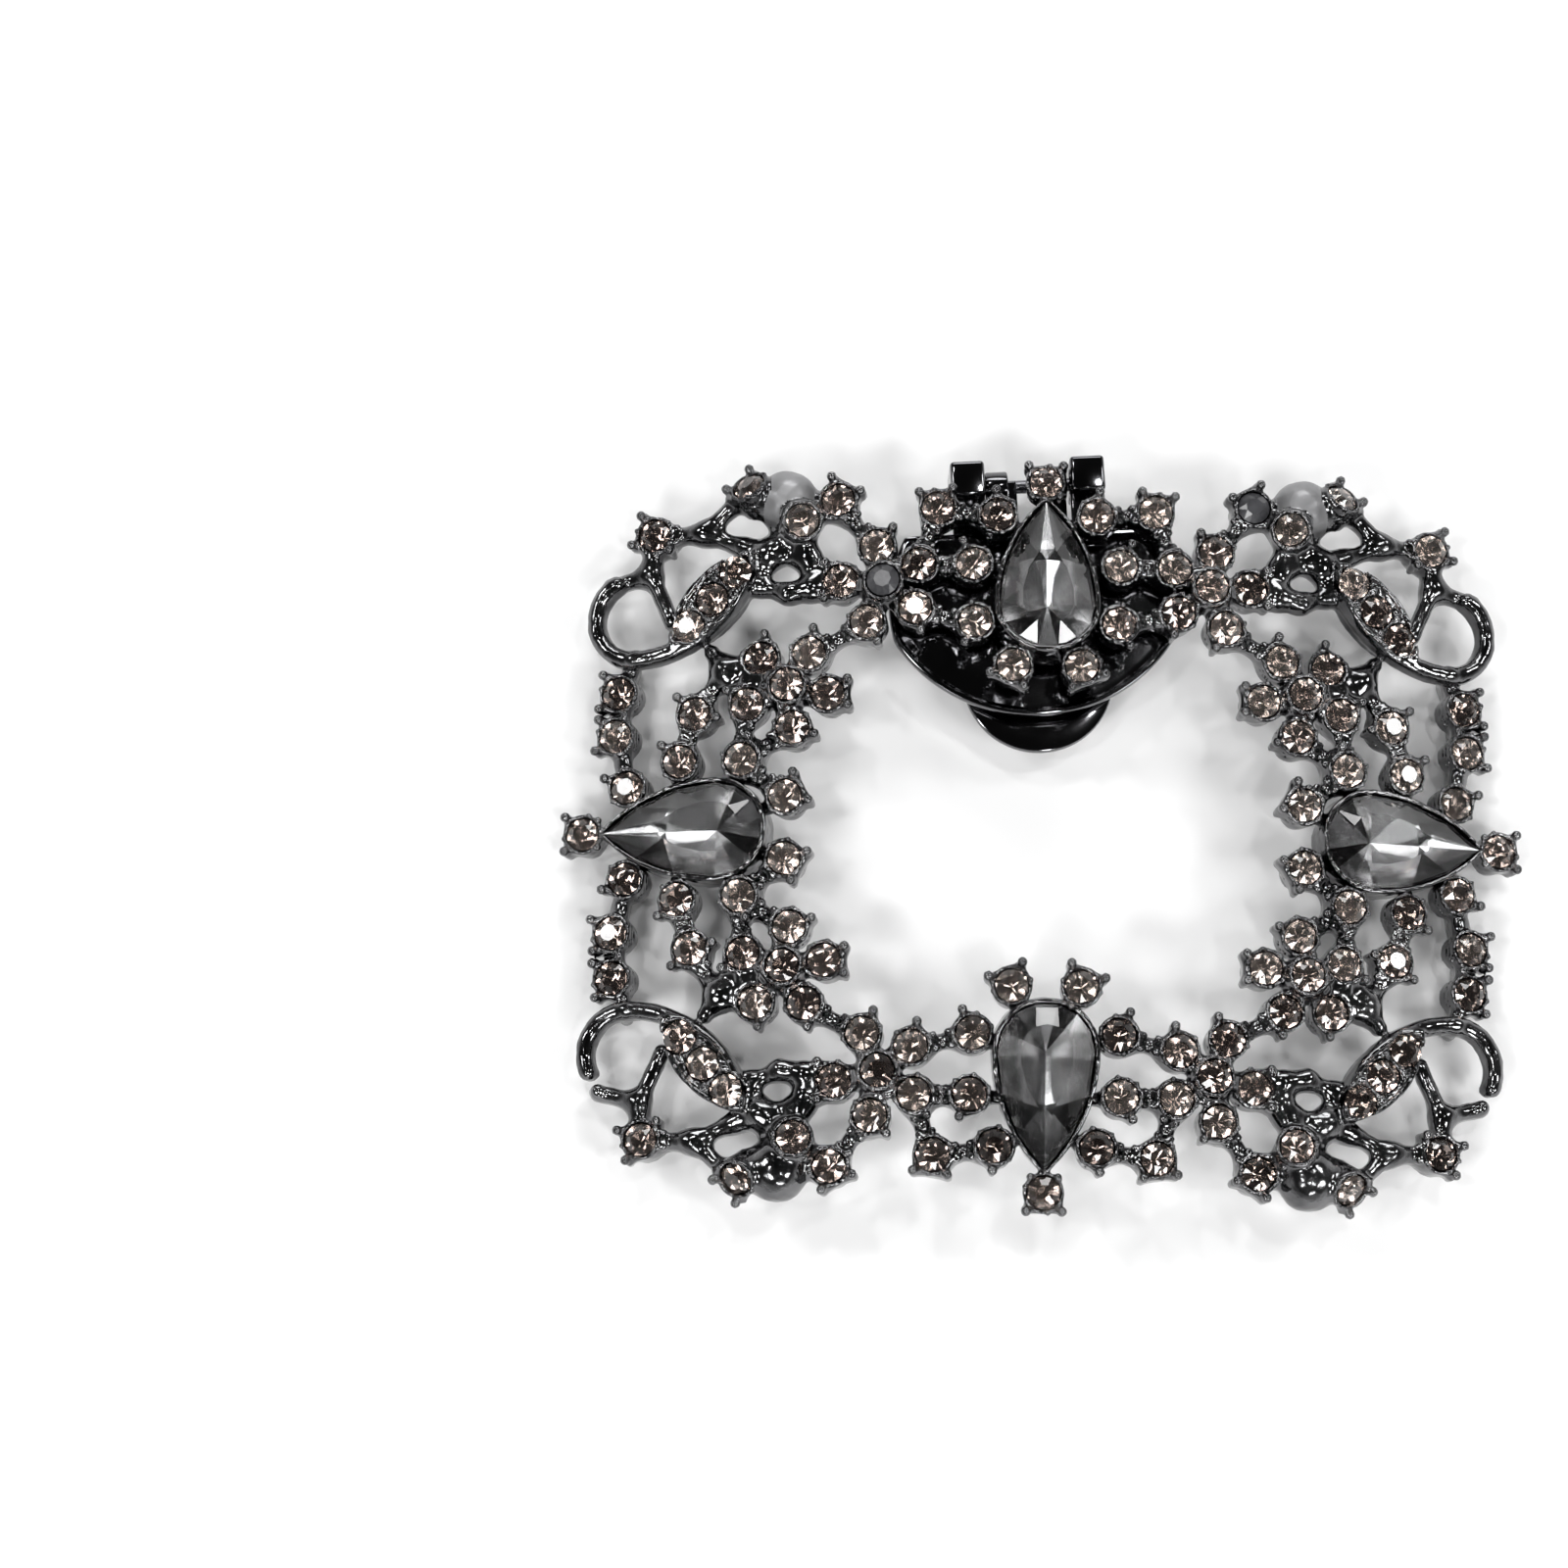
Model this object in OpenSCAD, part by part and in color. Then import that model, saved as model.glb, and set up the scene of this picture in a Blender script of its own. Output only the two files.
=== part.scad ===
// Pierced, stone-set shoe buckle with a spring clip behind its top side.
// The cast frame is one square motif drawn in a quarter and mirrored twice.
// It is bowed across its width, so the left and right rails are its feet.
// Millimetres. X runs across the bow, Y up the frame, and the floor is z = 0.

/* [Frame] */
// Distance between the two side tip stones, centre to centre
frame_w = 67.8; // [64:0.1:76]
// Distance between the top and bottom tip stones, centre to centre
frame_h = 53.2; // [50:0.1:60]
// Radius of the bow across the width
bow_r = 88; // [75:1:140]
// Height of the stones' girdle above the floor in the middle of the bow
crown_h = 9.4; // [9:0.1:11]
// Width of the struts that join the cups
strut_w = 1.0; // [0.8:0.05:1.3]
// Depth of the struts
strut_t = 1.5; // [1.2:0.1:1.8]
// How far the top of a strut lies below the girdles
strut_drop = 0.5; // [0.3:0.1:0.7]
// Thickness of the wall of the side rails
rail_w = 1.0; // [0.8:0.1:1.4]

/* [Small stones] */
// Diameter of a round stone
stone_d = 2.4; // [2.1:0.05:2.5]
// Height from the girdle up to the table
stone_crown = 0.45; // [0.3:0.05:0.6]
// Depth from the girdle down to the point
stone_depth = 1.1; // [0.9:0.05:1.3]
// Width of the table
stone_table = 1.3; // [1.1:0.05:1.6]

/* [Cups] */
// Clearance between a stone and its seat
seat_gap = 0.06; // [0.03:0.01:0.1]
// Wall of a cup
cup_wall = 0.26; // [0.2:0.01:0.4]
// Depth of a cup below the girdle
cup_depth = 2.2; // [1.9:0.05:2.5]
// Height of a cup's rim above the girdle
cup_rim = 0.1; // [0.05:0.05:0.2]
// Radius of a prong's round end
prong_r = 0.38; // [0.3:0.02:0.45]
// How far a prong's end stands out from the cup's wall
prong_reach = 0.3; // [0.1:0.05:0.45]
// Height of a prong's round end above the girdle
prong_h = 0.35; // [0.25:0.05:0.5]
// Depth of the two cups at the points of the top and bottom pear settings
tip_cup_depth = 1.5; // [1.45:0.05:1.6]
// Height of a flower's centre over the bow, which the other lifts are shares of
flower_lift = 1.0; // [0.6:0.1:1.4]

/* [Pear stones] */
// Width of a pear stone
pear_w = 7.0; // [6.4:0.1:7.6]
// Length of a pear stone
pear_l = 12.0; // [11:0.1:12.6]
// Height from the girdle up to the table
pear_crown = 1.1; // [0.8:0.1:1.4]
// Depth from the girdle down to the point
pear_depth = 1.5; // [1.2:0.1:1.6]
// Width of a pear stone's table
pear_table = 3.8; // [3:0.1:4.5]
// Thickness of a pear stone's girdle
pear_girdle = 0.3; // [0.2:0.05:0.4]
// Wall of the pear settings
bezel_wall = 0.34; // [0.25:0.01:0.45]
// Height of a pear setting's rim above the girdle
bezel_rim = 0.35; // [0.2:0.05:0.5]
// Depth of a pear setting below the girdle
bezel_depth = 2.3; // [2.1:0.05:2.6]
// Outward tilt of the top and bottom pear stones
pear_tilt = 11.5; // [6:0.5:13]

/* [Corner] */
// Radius of the corner hook, to the middle of its bar
hook_r = 3.15; // [2.8:0.05:3.4]
// Width of the hook's bar
hook_w = 1.4; // [1.1:0.05:1.6]
// Depth of the hook's bar below its middle
hook_t = 1.3; // [1:0.1:1.6]
// Turn of the two open hooks below, in degrees
hook_turn = 114; // [95:1:130]
// Turn of the two hooks beside the clip, which close on the branch above them, in degrees
top_hook_turn = 150; // [140:1:155]
// Radius of the long arc of the hook's stem
stem_r = 9.1; // [8.5:0.1:10]
// Turn of the stem, in degrees
stem_turn = 65; // [60:1:68]
// Length of the three-stone leaf
leaf_l = 9.6; // [9:0.1:10]
// Width of the leaf
leaf_w = 3.8; // [3.6:0.1:4.1]
// Distance between the leaf's stones
leaf_pitch = 2.7; // [2.6:0.05:2.8]
// Height of the leaf's raised rim
leaf_rim = 0.35; // [0.2:0.05:0.5]
// Width of the leaf's raised rim
leaf_wall = 0.35; // [0.25:0.05:0.45]
// Direction of the leaf's axis, in degrees from X
leaf_turn = 132; // [126:1:138]
// Radius of the smooth corner bulb
bulb_r = 2.35; // [2:0.05:2.6]
// Direction in which the stone beside the bulb leans
shoulder_turn = 215; // [200:5:230]
// Lean of the stone beside the bulb
shoulder_lean = 14; // [5:1:20]
// Direction in which the corner's steep stone leans
steep_turn = 60; // [50:1:70]
// Lean of the corner's steep stone
steep_lean = 40; // [30:1:45]

/* [Clip] */
// Thickness of the clip's plate
plate_t = 0.9; // [0.7:0.1:1.1]
// Height of the plate's top above the floor
plate_z = 5.9; // [5.7:0.1:6]
// Radius of the plate's long lower edge
plate_r = 12.3; // [12:0.1:13]
// Radius of the plate's sides
plate_side_r = 10.9; // [10:0.1:11.5]
// Width of the jaw
jaw_w = 11.2; // [10:0.1:12]
// Length of the jaw, from the hinge to its round end
jaw_l = 20.4; // [19:0.1:21]
// Thickness of the jaw
jaw_t = 0.8; // [0.6:0.1:1]
// Free space between the plate and the closed jaw
jaw_gap = 1.2; // [1:0.1:1.4]
// Diameter of the hinge pin
pin_d = 1.0; // [0.8:0.05:1.2]
// Running clearance round the pin
pin_gap = 0.06; // [0.04:0.01:0.1]
// Height of the hinge's axis above the jaw's lower face
hinge_rise = 1.2; // [1.1:0.05:1.25]
// Radius of the jaw's two knuckles
knuckle_r = 1.2; // [1.1:0.05:1.25]
// Width of a knuckle
knuckle_w = 1.7; // [1.4:0.1:1.8]
// Side clearance between a knuckle and its ear
knuckle_gap = 0.15; // [0.1:0.05:0.3]
// Width of the upright tab between the knuckles
tab_w = 0.8; // [0.6:0.1:1]
// Height of the tab above the jaw's lower face
tab_h = 2.3; // [2:0.1:2.4]
// Width of a hinge ear
ear_w = 2.55; // [2:0.05:2.8]
// Length of a hinge ear
ear_l = 2.7; // [2.5:0.05:3]
// Height of an ear above the plate
ear_rise = 1.3; // [0.8:0.1:1.5]
// Width over both ears
ears_span = 11.5; // [11:0.1:12]
// Turn of the clip against the frame
clip_turn = 4; // [0:0.5:5]
// Sideways offset of the clip
clip_shift = -0.6; // [-1:0.1:0]

/* [Hidden] */
$fn = 48;

// Girdle height and slope of the bow at a distance x from the middle.
function bow_z(x) = crown_h - x * x / (2 * bow_r);
function bow_slope(x) = atan(x / bow_r);

stone_r = stone_d / 2;
seat_r = stone_r + seat_gap;
cup_r = seat_r + cup_wall;
seat_air = 0.15;
seat_floor = stone_depth + seat_air;
cut_over = 2;
half_w = frame_w / 2;
half_h = frame_h / 2;
strut_z = -strut_drop - strut_t / 2;
link_t = strut_t * 0.7;
flower_pitch = 2 * cup_r + 0.04;
prong_root = 0.5;
prong_foot = cup_depth * 0.55;
steep_prongs = [-steep_turn, 20];
tip_prongs = [45, 135];

// Pear setting: the widest point is its origin and the point looks along +Y.
pear_tip = pear_l - pear_w / 2;
setting_w = pear_w + 2 * (seat_gap + bezel_wall);
setting_tip = pear_tip + seat_gap + bezel_wall;
tip_merge = 0.3;
tip_reach = setting_tip + cup_r - tip_merge;
pear_y = half_h - tip_reach * cos(pear_tilt);
pear_x = half_w - tip_reach * cos(bow_slope(half_w - tip_reach));

// The clip: its plate hangs on the frame's back, the jaw closes below the plate.
plate_y = half_h * 0.808;
plate_side_y = half_h * 0.669;
plate_edge = half_h * 0.88;
plate_air = 0.05;
hinge_y = half_h * 1.026;
jaw_z = plate_z - plate_t - jaw_gap - jaw_t;
hinge_z = jaw_z + hinge_rise;
ear_in = ears_span / 2 - ear_w;
ear_root = 1.5;
knuckle_in = ear_in - knuckle_gap - knuckle_w;
tab_in = knuckle_in - tab_w * 0.75;
pin_press = 0.02;
neck_air = 1.2;
neck_root = 1;
tab_over = 0.2;

// Seats of the quarter: name, share of half the width, share of half the height, share of flower_lift.
SEATS = [
    ["p1", 0.074, 0.449, 0.4],
    ["p2", 0.156, 0.577, 0],
    ["p3", 0.161, 0.744, -0.2],
    ["p4", 0.108, 0.885, -0.1],
    ["p5", 0.238, 0.908, -0.5],
    ["e1", 0.456, 0.938, -0.6],
    ["k1", 0.534, 0.866, 0.9],
    ["k3", 0.858, 0.857, -0.2],
    ["q1", 0.562, 0.088, 0],
    ["q2", 0.659, 0.192, 0.4],
    ["q3", 0.792, 0.195, 0.2],
    ["q4", 0.761, 0.332, -0.2],
    ["r1", 0.906, 0.130, 0],
    ["r2", 0.934, 0.280, -0.1],
    ["r3", 0.930, 0.405, -0.3],
    ["f0", 0.358, 0.686, 1],
    ["g0", 0.563, 0.395, 1],
    ["l0", 0.729, 0.656, 0.4]
];
// Petals of the two flowers: name, flower's centre, direction in degrees, share of flower_lift.
PETALS = [
    ["f1", "f0", 218, 0.1], ["f2", "f0", 150, -0.2], ["f3", "f0", 291, 0], ["f4", "f0", 82, -0.5],
    ["f5", "f0", 9, -0.7], ["g1", "g0", 190, 0], ["g2", "g0", 261, 0], ["g3", "g0", 338, 0],
    ["g4", "g0", 122, 0], ["g5", "g0", 52, -0.5]
];
// Places where struts meet without a stone: name, share across, share up, share of flower_lift.
JOINTS = [
    ["web", 0.518, 0.775, 0],
    ["beak_low", 0.510, 0.684, 0.3],
    ["beak_top", 0.562, 0.672, 0.4],
    ["stem_high", 0.629, 0.702, 0],
    ["column", 0.603, 0.790, 0.2],
    ["stem_end", 0.725, 0.513, 0],
    ["fork", 0.696, 0.462, 0],
    ["point", 0.745, 0.862, 0.1],
    ["leaf_foot", 0.655, 0.812, 0],
    ["leaf_tip", 0.816, 0.612, 0],
    ["brace", 0.864, 0.752, 0.2],
    ["nub", 0.952, 0.720, 0.3],
    ["bulb", 0.566, 0.942, -1.2],
    ["steep", 0.652, 0.975, 0.5],
    ["hook_low", 0.896, 0.498, 0]
];
// Prongs with a round end: seat, then the directions in degrees.
PRONGS = [
    ["p1", [246, 340]], ["p2", [294]], ["p3", [66]], ["p4", [85]], ["p5", [126, 40]],
    ["e1", [160, 75]], ["k3", [225, 338, 57]], ["q1", [193, 110]], ["q2", [110]], ["q3", [43]],
    ["q4", [192, 45]], ["r1", [24]], ["r2", [324, 46]], ["r3", [321, 52]],
    ["f1", [256]], ["f3", [242]], ["f4", [132]], ["f5", [311, 50]],
    ["g1", [212, 146]], ["g2", [199]], ["g3", [36]], ["g4", [101]], ["g5", [100]]
];
// Struts of the quarter, each between two named places.
STRUTS = [
    ["p4", "p5"], ["p5", "f2"], ["p2", "f1"], ["p3", "f2"], ["f4", "e1"], ["e1", "k1"],
    ["k1", "bulb"], ["e1", "bulb"], ["k1", "column"], ["f3", "g4"], ["f5", "web"], ["web", "k1"],
    ["f5", "beak_low"], ["beak_low", "web"], ["beak_low", "beak_top"], ["beak_top", "stem_high"],
    ["web", "column"], ["stem_high", "column"], ["column", "bulb"], ["bulb", "steep"],
    ["column", "leaf_foot"], ["leaf_foot", "point"], ["point", "steep"], ["point", "k3"],
    ["leaf_tip", "brace"], ["brace", "k3"], ["brace", "nub"], ["g0", "fork"], ["g5", "fork"],
    ["fork", "stem_end"], ["fork", "q4"], ["q4", "q3"], ["g2", "q2"], ["g3", "q2"], ["q1", "q2"],
    ["g3", "fork"]
];
// Stones of the side rail, from the pear stone to the hook, and how far its wall lies inside them.
RAIL = [["r1", 0.14], ["r2", 0.35], ["r3", 0.35], ["hook_low", 0]];
// Cups that short feet join to a pear setting: those round the upright one and the side one.
PEAR_CUPS = [["p1", "p2", "p3", "p4"], ["q1", "q2", "q3", "r1"]];
PLACES = concat(SEATS, JOINTS);

function row(table, name) = table[search([name], table)[0]];
function spot(r) = [r[1] * half_w, r[2] * half_h, r[3] * flower_lift];
function petal(r) = let (c = spot(row(SEATS, r[1])))
    [c[0] + flower_pitch * cos(r[2]), c[1] + flower_pitch * sin(r[2]), r[3] * flower_lift];
function place(name) = let (found = search([name], PETALS)[0])
    is_num(found) ? petal(PETALS[found]) : spot(row(PLACES, name));
// A place as a point in space, h above or below the girdles.
function at_bow(p, h) = [p[0], p[1], bow_z(p[0]) + p[2] + h];

// Names of the upright cups of a quarter, apart from the leaf's centre.
CUPS = concat(
    [for (s = SEATS) if (s[0] != "l0" && s[0] != "k1") s[0]], [for (p = PETALS) p[0]]);

// Outline of a pear of width w whose point lies at y = tip: a half circle and two long arcs.
function pear_outline(w, tip) = let (big_r = (w * w / 4 + tip * tip) / w, turn = asin(tip / big_r))
    concat(
        [for (i = [0:9]) [-w / 2 * cos(i * 18), -w / 2 * sin(i * 18)]],
        [for (i = [0:6]) [w / 2 - big_r + big_r * cos(i * turn / 7), big_r * sin(i * turn / 7)]],
        [[0, tip]],
        [for (i = [6:-1:1]) [big_r - w / 2 - big_r * cos(i * turn / 7), big_r * sin(i * turn / 7)]]
    );

module on_bow(x, y, lift) {
    translate([x, y, bow_z(x) + lift]) rotate([0, bow_slope(x), 0]) children();
}

// The four quarters. A child can ask whether it is one of the lower two.
module mirrored() {
    for (mx = [0, 1]) {
        for (my = [0, 1]) {
            $lower = my == 1;
            mirror([mx, 0, 0]) mirror([0, my, 0]) children();
        }
    }
}

// Straight bar between two points, w wide and t deep.
module bar(p, q, w, t) {
    run = q - p;
    reach = norm(run);
    translate(p) rotate([0, -asin(run[2] / reach), atan2(run[1], run[0])])
        translate([0, -w / 2, -t / 2]) cube([reach, w, t]);
}

module cup(depth = cup_depth) {
    translate([0, 0, -depth]) cylinder(h = depth + cup_rim, r = cup_r);
}

// A fin on the cup's wall with a round end.
module prong(direction, foot = prong_foot) {
    fin_w = prong_r * 1.6;
    rotate([0, 0, direction]) {
        translate([cup_r - prong_root, -fin_w / 2, -foot])
            cube([prong_root + prong_reach, fin_w, foot + prong_h]);
        translate([cup_r + prong_reach, 0, prong_h]) sphere(r = prong_r);
    }
}

module seat_cut() {
    translate([0, 0, -seat_floor]) cylinder(h = seat_floor + cut_over, r = seat_r);
}

// The stones have eight facets above the girdle and eight below it.
module stone() {
    rotate_extrude($fn = 8) polygon([
        [0, -stone_depth], [stone_r, 0], [stone_table / 2, stone_crown], [0, stone_crown]]);
}

// The leaf's own axes: X runs along it.
module leaf_frame() {
    c = place("l0");
    on_bow(c[0], c[1], c[2]) rotate([0, 0, leaf_turn]) children();
}

// The leaf's three stones, one girdle a little below the leaf's face.
module leaf_seats() {
    sink = 0.1;
    leaf_frame() {
        for (i = [-1:1]) {
            translate([i * leaf_pitch, 0, -sink]) children();
        }
    }
}

// A seat that leans over in a direction.
module leaning_seat(name, turn, lean) {
    c = place(name);
    on_bow(c[0], c[1], c[2]) rotate([0, 0, turn]) rotate([0, lean, 0]) children();
}

module steep_seat() {
    leaning_seat("steep", steep_turn, steep_lean) children();
}

// Everything that stands on a round seat in a quarter.
module quarter_seats() {
    for (name = CUPS) {
        c = place(name);
        on_bow(c[0], c[1], c[2]) children();
    }
    leaning_seat("k1", shoulder_turn, shoulder_lean) children();
    steep_seat() children();
}

// Plate with the outline of a leaf, two equal arcs, drawn in by inset.
module blade(inset, depth) {
    arc_r = (leaf_l * leaf_l + leaf_w * leaf_w) / (4 * leaf_w);
    intersection() {
        translate([0, arc_r - leaf_w / 2, 0]) cylinder(h = depth, r = arc_r - inset, $fn = 96);
        translate([0, leaf_w / 2 - arc_r, 0]) cylinder(h = depth, r = arc_r - inset, $fn = 96);
    }
}

module leaf() {
    leaf_frame() difference() {
        translate([0, 0, -cup_depth]) blade(0, cup_depth + leaf_rim);
        blade(leaf_wall, leaf_rim + cut_over);
    }
}

// Section of the hook's bar: flat below, with a rounded top.
module hook_profile(size) {
    half = hook_w / 2;
    polygon([for (p = [
        [-half, -hook_t], [half, -hook_t], [half, half * 0.3], [half * 0.6, half * 0.85],
        [-half * 0.6, half * 0.85], [-half, half * 0.3]]) p * size]);
}

// The hook's arc and its stem, a long arc, part at the hook's lowest place.
// The stem is a little thicker and laps over the hook's foot.
module hook() {
    thicker = 1.06;
    lap_turn = 2;
    turn = $lower ? hook_turn : top_hook_turn;
    c = place("hook_low");
    on_bow(c[0], c[1], c[2]) {
        translate([0, hook_r, 0]) {
            rotate([0, 0, -90]) rotate_extrude(angle = turn) translate([hook_r, 0]) hook_profile(1);
            rotate([0, 0, turn - 90]) translate([hook_r, 0, -hook_t * 0.95])
                cylinder(h = hook_t * 0.95 + hook_w * 0.4, d = hook_w * 0.98);
        }
        translate([0, stem_r, 0]) rotate([0, 0, -90 - stem_turn])
            rotate_extrude(angle = stem_turn + lap_turn) translate([stem_r, 0]) hook_profile(thicker);
    }
}

// A ball with a flat foot, level with the feet of the cups.
module bulb() {
    c = place("bulb");
    intersection() {
        translate(at_bow(c, 0)) sphere(r = bulb_r);
        translate([c[0], c[1], bow_z(c[0]) - cup_depth]) cylinder(h = 2 * bulb_r, r = 2 * bulb_r);
    }
}

module struts() {
    for (s = STRUTS) {
        bar(at_bow(place(s[0]), strut_z), at_bow(place(s[1]), strut_z), strut_w, strut_t);
    }
    for (p = PETALS) {
        bar(at_bow(place(p[0]), strut_z), at_bow(place(p[1]), strut_z), 2 * strut_w, strut_t);
    }
}

// Wall of the side rail: it reaches the floor and carries the buckle. Thicker posts stand at its bends.
module rail() {
    post_d = rail_w * 1.2;
    wall_h = bow_z(half_w * 0.9) - strut_drop;
    stones = [for (r = RAIL) place(r[0])];
    feet = [for (r = RAIL) let (c = place(r[0])) [c[0] - r[1] * cup_r, c[1], wall_h / 2]];
    for (i = [0:len(RAIL) - 2]) {
        bar(feet[i], feet[i + 1], rail_w, wall_h);
        bar(at_bow(stones[i], strut_z), at_bow(stones[i + 1], strut_z), strut_w, strut_t);
    }
    for (i = [1:len(RAIL) - 2]) {
        translate([feet[i][0], feet[i][1], 0]) cylinder(h = wall_h, d = post_d);
    }
}

// Short feet that join the cups round a pear setting to its wall.
module pear_links() {
    link_z = link_t / 3 - bezel_depth;
    link_end = pear_tip * 0.6;
    for (name = PEAR_CUPS[0]) {
        c = place(name);
        y = max(pear_y, min(c[1], pear_y + link_end));
        bar(at_bow(c, strut_z), [0, y, crown_h + link_z], strut_w, link_t);
    }
    for (name = PEAR_CUPS[1]) {
        c = place(name);
        x = max(pear_x, min(c[0], pear_x + link_end));
        bar(at_bow(c, strut_z), [x, 0, bow_z(x) + link_z], strut_w, link_t);
    }
}

module quarter_body() {
    quarter_seats() cup();
    for (p = PRONGS) {
        c = place(p[0]);
        on_bow(c[0], c[1], c[2]) {
            for (direction = p[1]) {
                prong(direction);
            }
        }
    }
    steep_seat() {
        for (direction = steep_prongs) {
            prong(direction);
        }
    }
    translate(at_bow(place("nub"), -strut_drop)) sphere(r = prong_r * 1.5);
    struts();
    rail();
    hook();
    leaf();
    bulb();
    pear_links();
}

module top_pear() {
    translate([0, pear_y, crown_h]) rotate([-pear_tilt, 0, 0]) children();
}

module side_pear() {
    on_bow(pear_x, 0, 0) rotate([0, 0, -90]) children();
}

module upright_pears() {
    top_pear() children();
    mirror([0, 1, 0]) top_pear() children();
}

module side_pears() {
    side_pear() children();
    mirror([1, 0, 0]) side_pear() children();
}

module all_pears() {
    upright_pears() children();
    side_pears() children();
}

module pear_setting(tip_depth) {
    translate([0, 0, -bezel_depth]) linear_extrude(bezel_depth + bezel_rim)
        polygon(pear_outline(setting_w, setting_tip));
    translate([0, tip_reach, 0]) {
        cup(tip_depth);
        for (direction = tip_prongs) {
            prong(direction, tip_depth * 0.8);
        }
    }
}

module pear_cut() {
    translate([0, 0, -pear_depth - seat_air]) linear_extrude(pear_depth + cut_over)
        polygon(pear_outline(pear_w + 2 * seat_gap, pear_tip + seat_gap));
    translate([0, tip_reach, 0]) seat_cut();
}

// The clip's own axes: its plate lies flat and its hinge is parallel to X.
module clip_axes() {
    translate([clip_shift, pear_y, 0]) rotate([0, 0, clip_turn]) translate([0, -pear_y, 0]) children();
}

// The plate's outline, two arcs cut off straight at the hinge.
module plate_shape(grow, t) {
    intersection() {
        translate([0, plate_y, 0]) cylinder(h = t, r = plate_r + grow, $fn = 96);
        translate([0, plate_side_y, 0]) cylinder(h = t, r = plate_side_r + grow, $fn = 96);
        translate([-2 * plate_r, plate_edge + grow - 3 * plate_r, 0])
            cube([4 * plate_r, 3 * plate_r, t]);
    }
}

module frame() {
    color("dimgray") difference() {
        union() {
            mirrored() quarter_body();
            upright_pears() pear_setting(tip_cup_depth);
            side_pears() pear_setting(cup_depth);
        }
        mirrored() {
            quarter_seats() seat_cut();
            leaf_seats() seat_cut();
        }
        all_pears() pear_cut();
        // flat back where the clip's plate is fixed
        clip_axes() plate_shape(6 * plate_air, plate_z + plate_air);
    }
}

module small_stones() {
    color("rosybrown") {
        mirrored() {
            quarter_seats() stone();
            leaf_seats() stone();
        }
        all_pears() translate([0, tip_reach, 0]) stone();
    }
}

// A pear stone: girdle, table and keel, each a thin pear, with the facets stretched between them.
module pear_stone() {
    thin = 0.02;
    table = pear_table / pear_w;
    color("gray") hull() {
        translate([0, 0, -pear_girdle / 2]) linear_extrude(pear_girdle)
            polygon(pear_outline(pear_w, pear_tip));
        translate([0, 0, pear_crown - thin]) linear_extrude(thin)
            polygon(pear_outline(pear_w * table, pear_tip * table));
        translate([0, 0, -pear_depth]) linear_extrude(thin)
            polygon(pear_outline(pear_w * 0.1, pear_tip * 0.3));
    }
}

module pear_stone_top() {
    top_pear() pear_stone();
}

module pear_stone_bottom() {
    mirror([0, 1, 0]) top_pear() pear_stone();
}

module pear_stone_right() {
    side_pear() pear_stone();
}

module pear_stone_left() {
    mirror([1, 0, 0]) side_pear() pear_stone();
}

module hinge_bore(from, to, r) {
    translate([from, hinge_y, hinge_z]) rotate([0, 90, 0]) cylinder(h = to - from, r = r);
}

module clip_plate() {
    color([0.08, 0.08, 0.09]) clip_axes() difference() {
        union() {
            translate([0, 0, plate_z - plate_t]) plate_shape(0, plate_t);
            for (left = [-ears_span / 2, ear_in]) {
                translate([left, plate_edge - ear_root, plate_z - plate_t])
                    cube([ear_w, hinge_y - plate_edge + ear_root, plate_t]);
                translate([left, hinge_y - ear_l / 2, hinge_z - knuckle_r])
                    cube([ear_w, ear_l, plate_z + ear_rise - hinge_z + knuckle_r]);
            }
        }
        hinge_bore(-ears_span / 2 - cut_over, ears_span / 2 + cut_over, pin_d / 2 + pin_press);
    }
}

module clip_jaw() {
    round_y = hinge_y - jaw_l + jaw_w / 2;
    neck_y = hinge_y - ear_l / 2 - neck_air;
    color([0.08, 0.08, 0.09]) clip_axes() difference() {
        union() {
            translate([0, round_y, jaw_z]) cylinder(h = jaw_t, d = jaw_w, $fn = 96);
            translate([-jaw_w / 2, round_y, jaw_z]) cube([jaw_w, neck_y - round_y, jaw_t]);
            for (left = [-knuckle_in - knuckle_w, knuckle_in]) {
                translate([left, neck_y - neck_root, jaw_z])
                    cube([knuckle_w, hinge_y - neck_y + neck_root, jaw_t]);
                translate([left, hinge_y, hinge_z]) rotate([0, 90, 0])
                    cylinder(h = knuckle_w, r = knuckle_r);
            }
            translate([-tab_in - tab_w, neck_y - neck_root, jaw_z])
                cube([tab_w, hinge_y - neck_y + neck_root + tab_over, tab_h]);
        }
        hinge_bore(-ears_span / 2, ears_span / 2, pin_d / 2 + pin_gap);
    }
}

module hinge_pin() {
    color([0.3, 0.3, 0.32]) clip_axes() hinge_bore(-ears_span / 2, ears_span / 2, pin_d / 2);
}

frame();
small_stones();
pear_stone_top();
pear_stone_bottom();
pear_stone_left();
pear_stone_right();
clip_plate();
clip_jaw();
hinge_pin();
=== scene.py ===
import math
from itertools import combinations

import bmesh
import bpy
import numpy as np
from mathutils import Matrix, Vector


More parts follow.
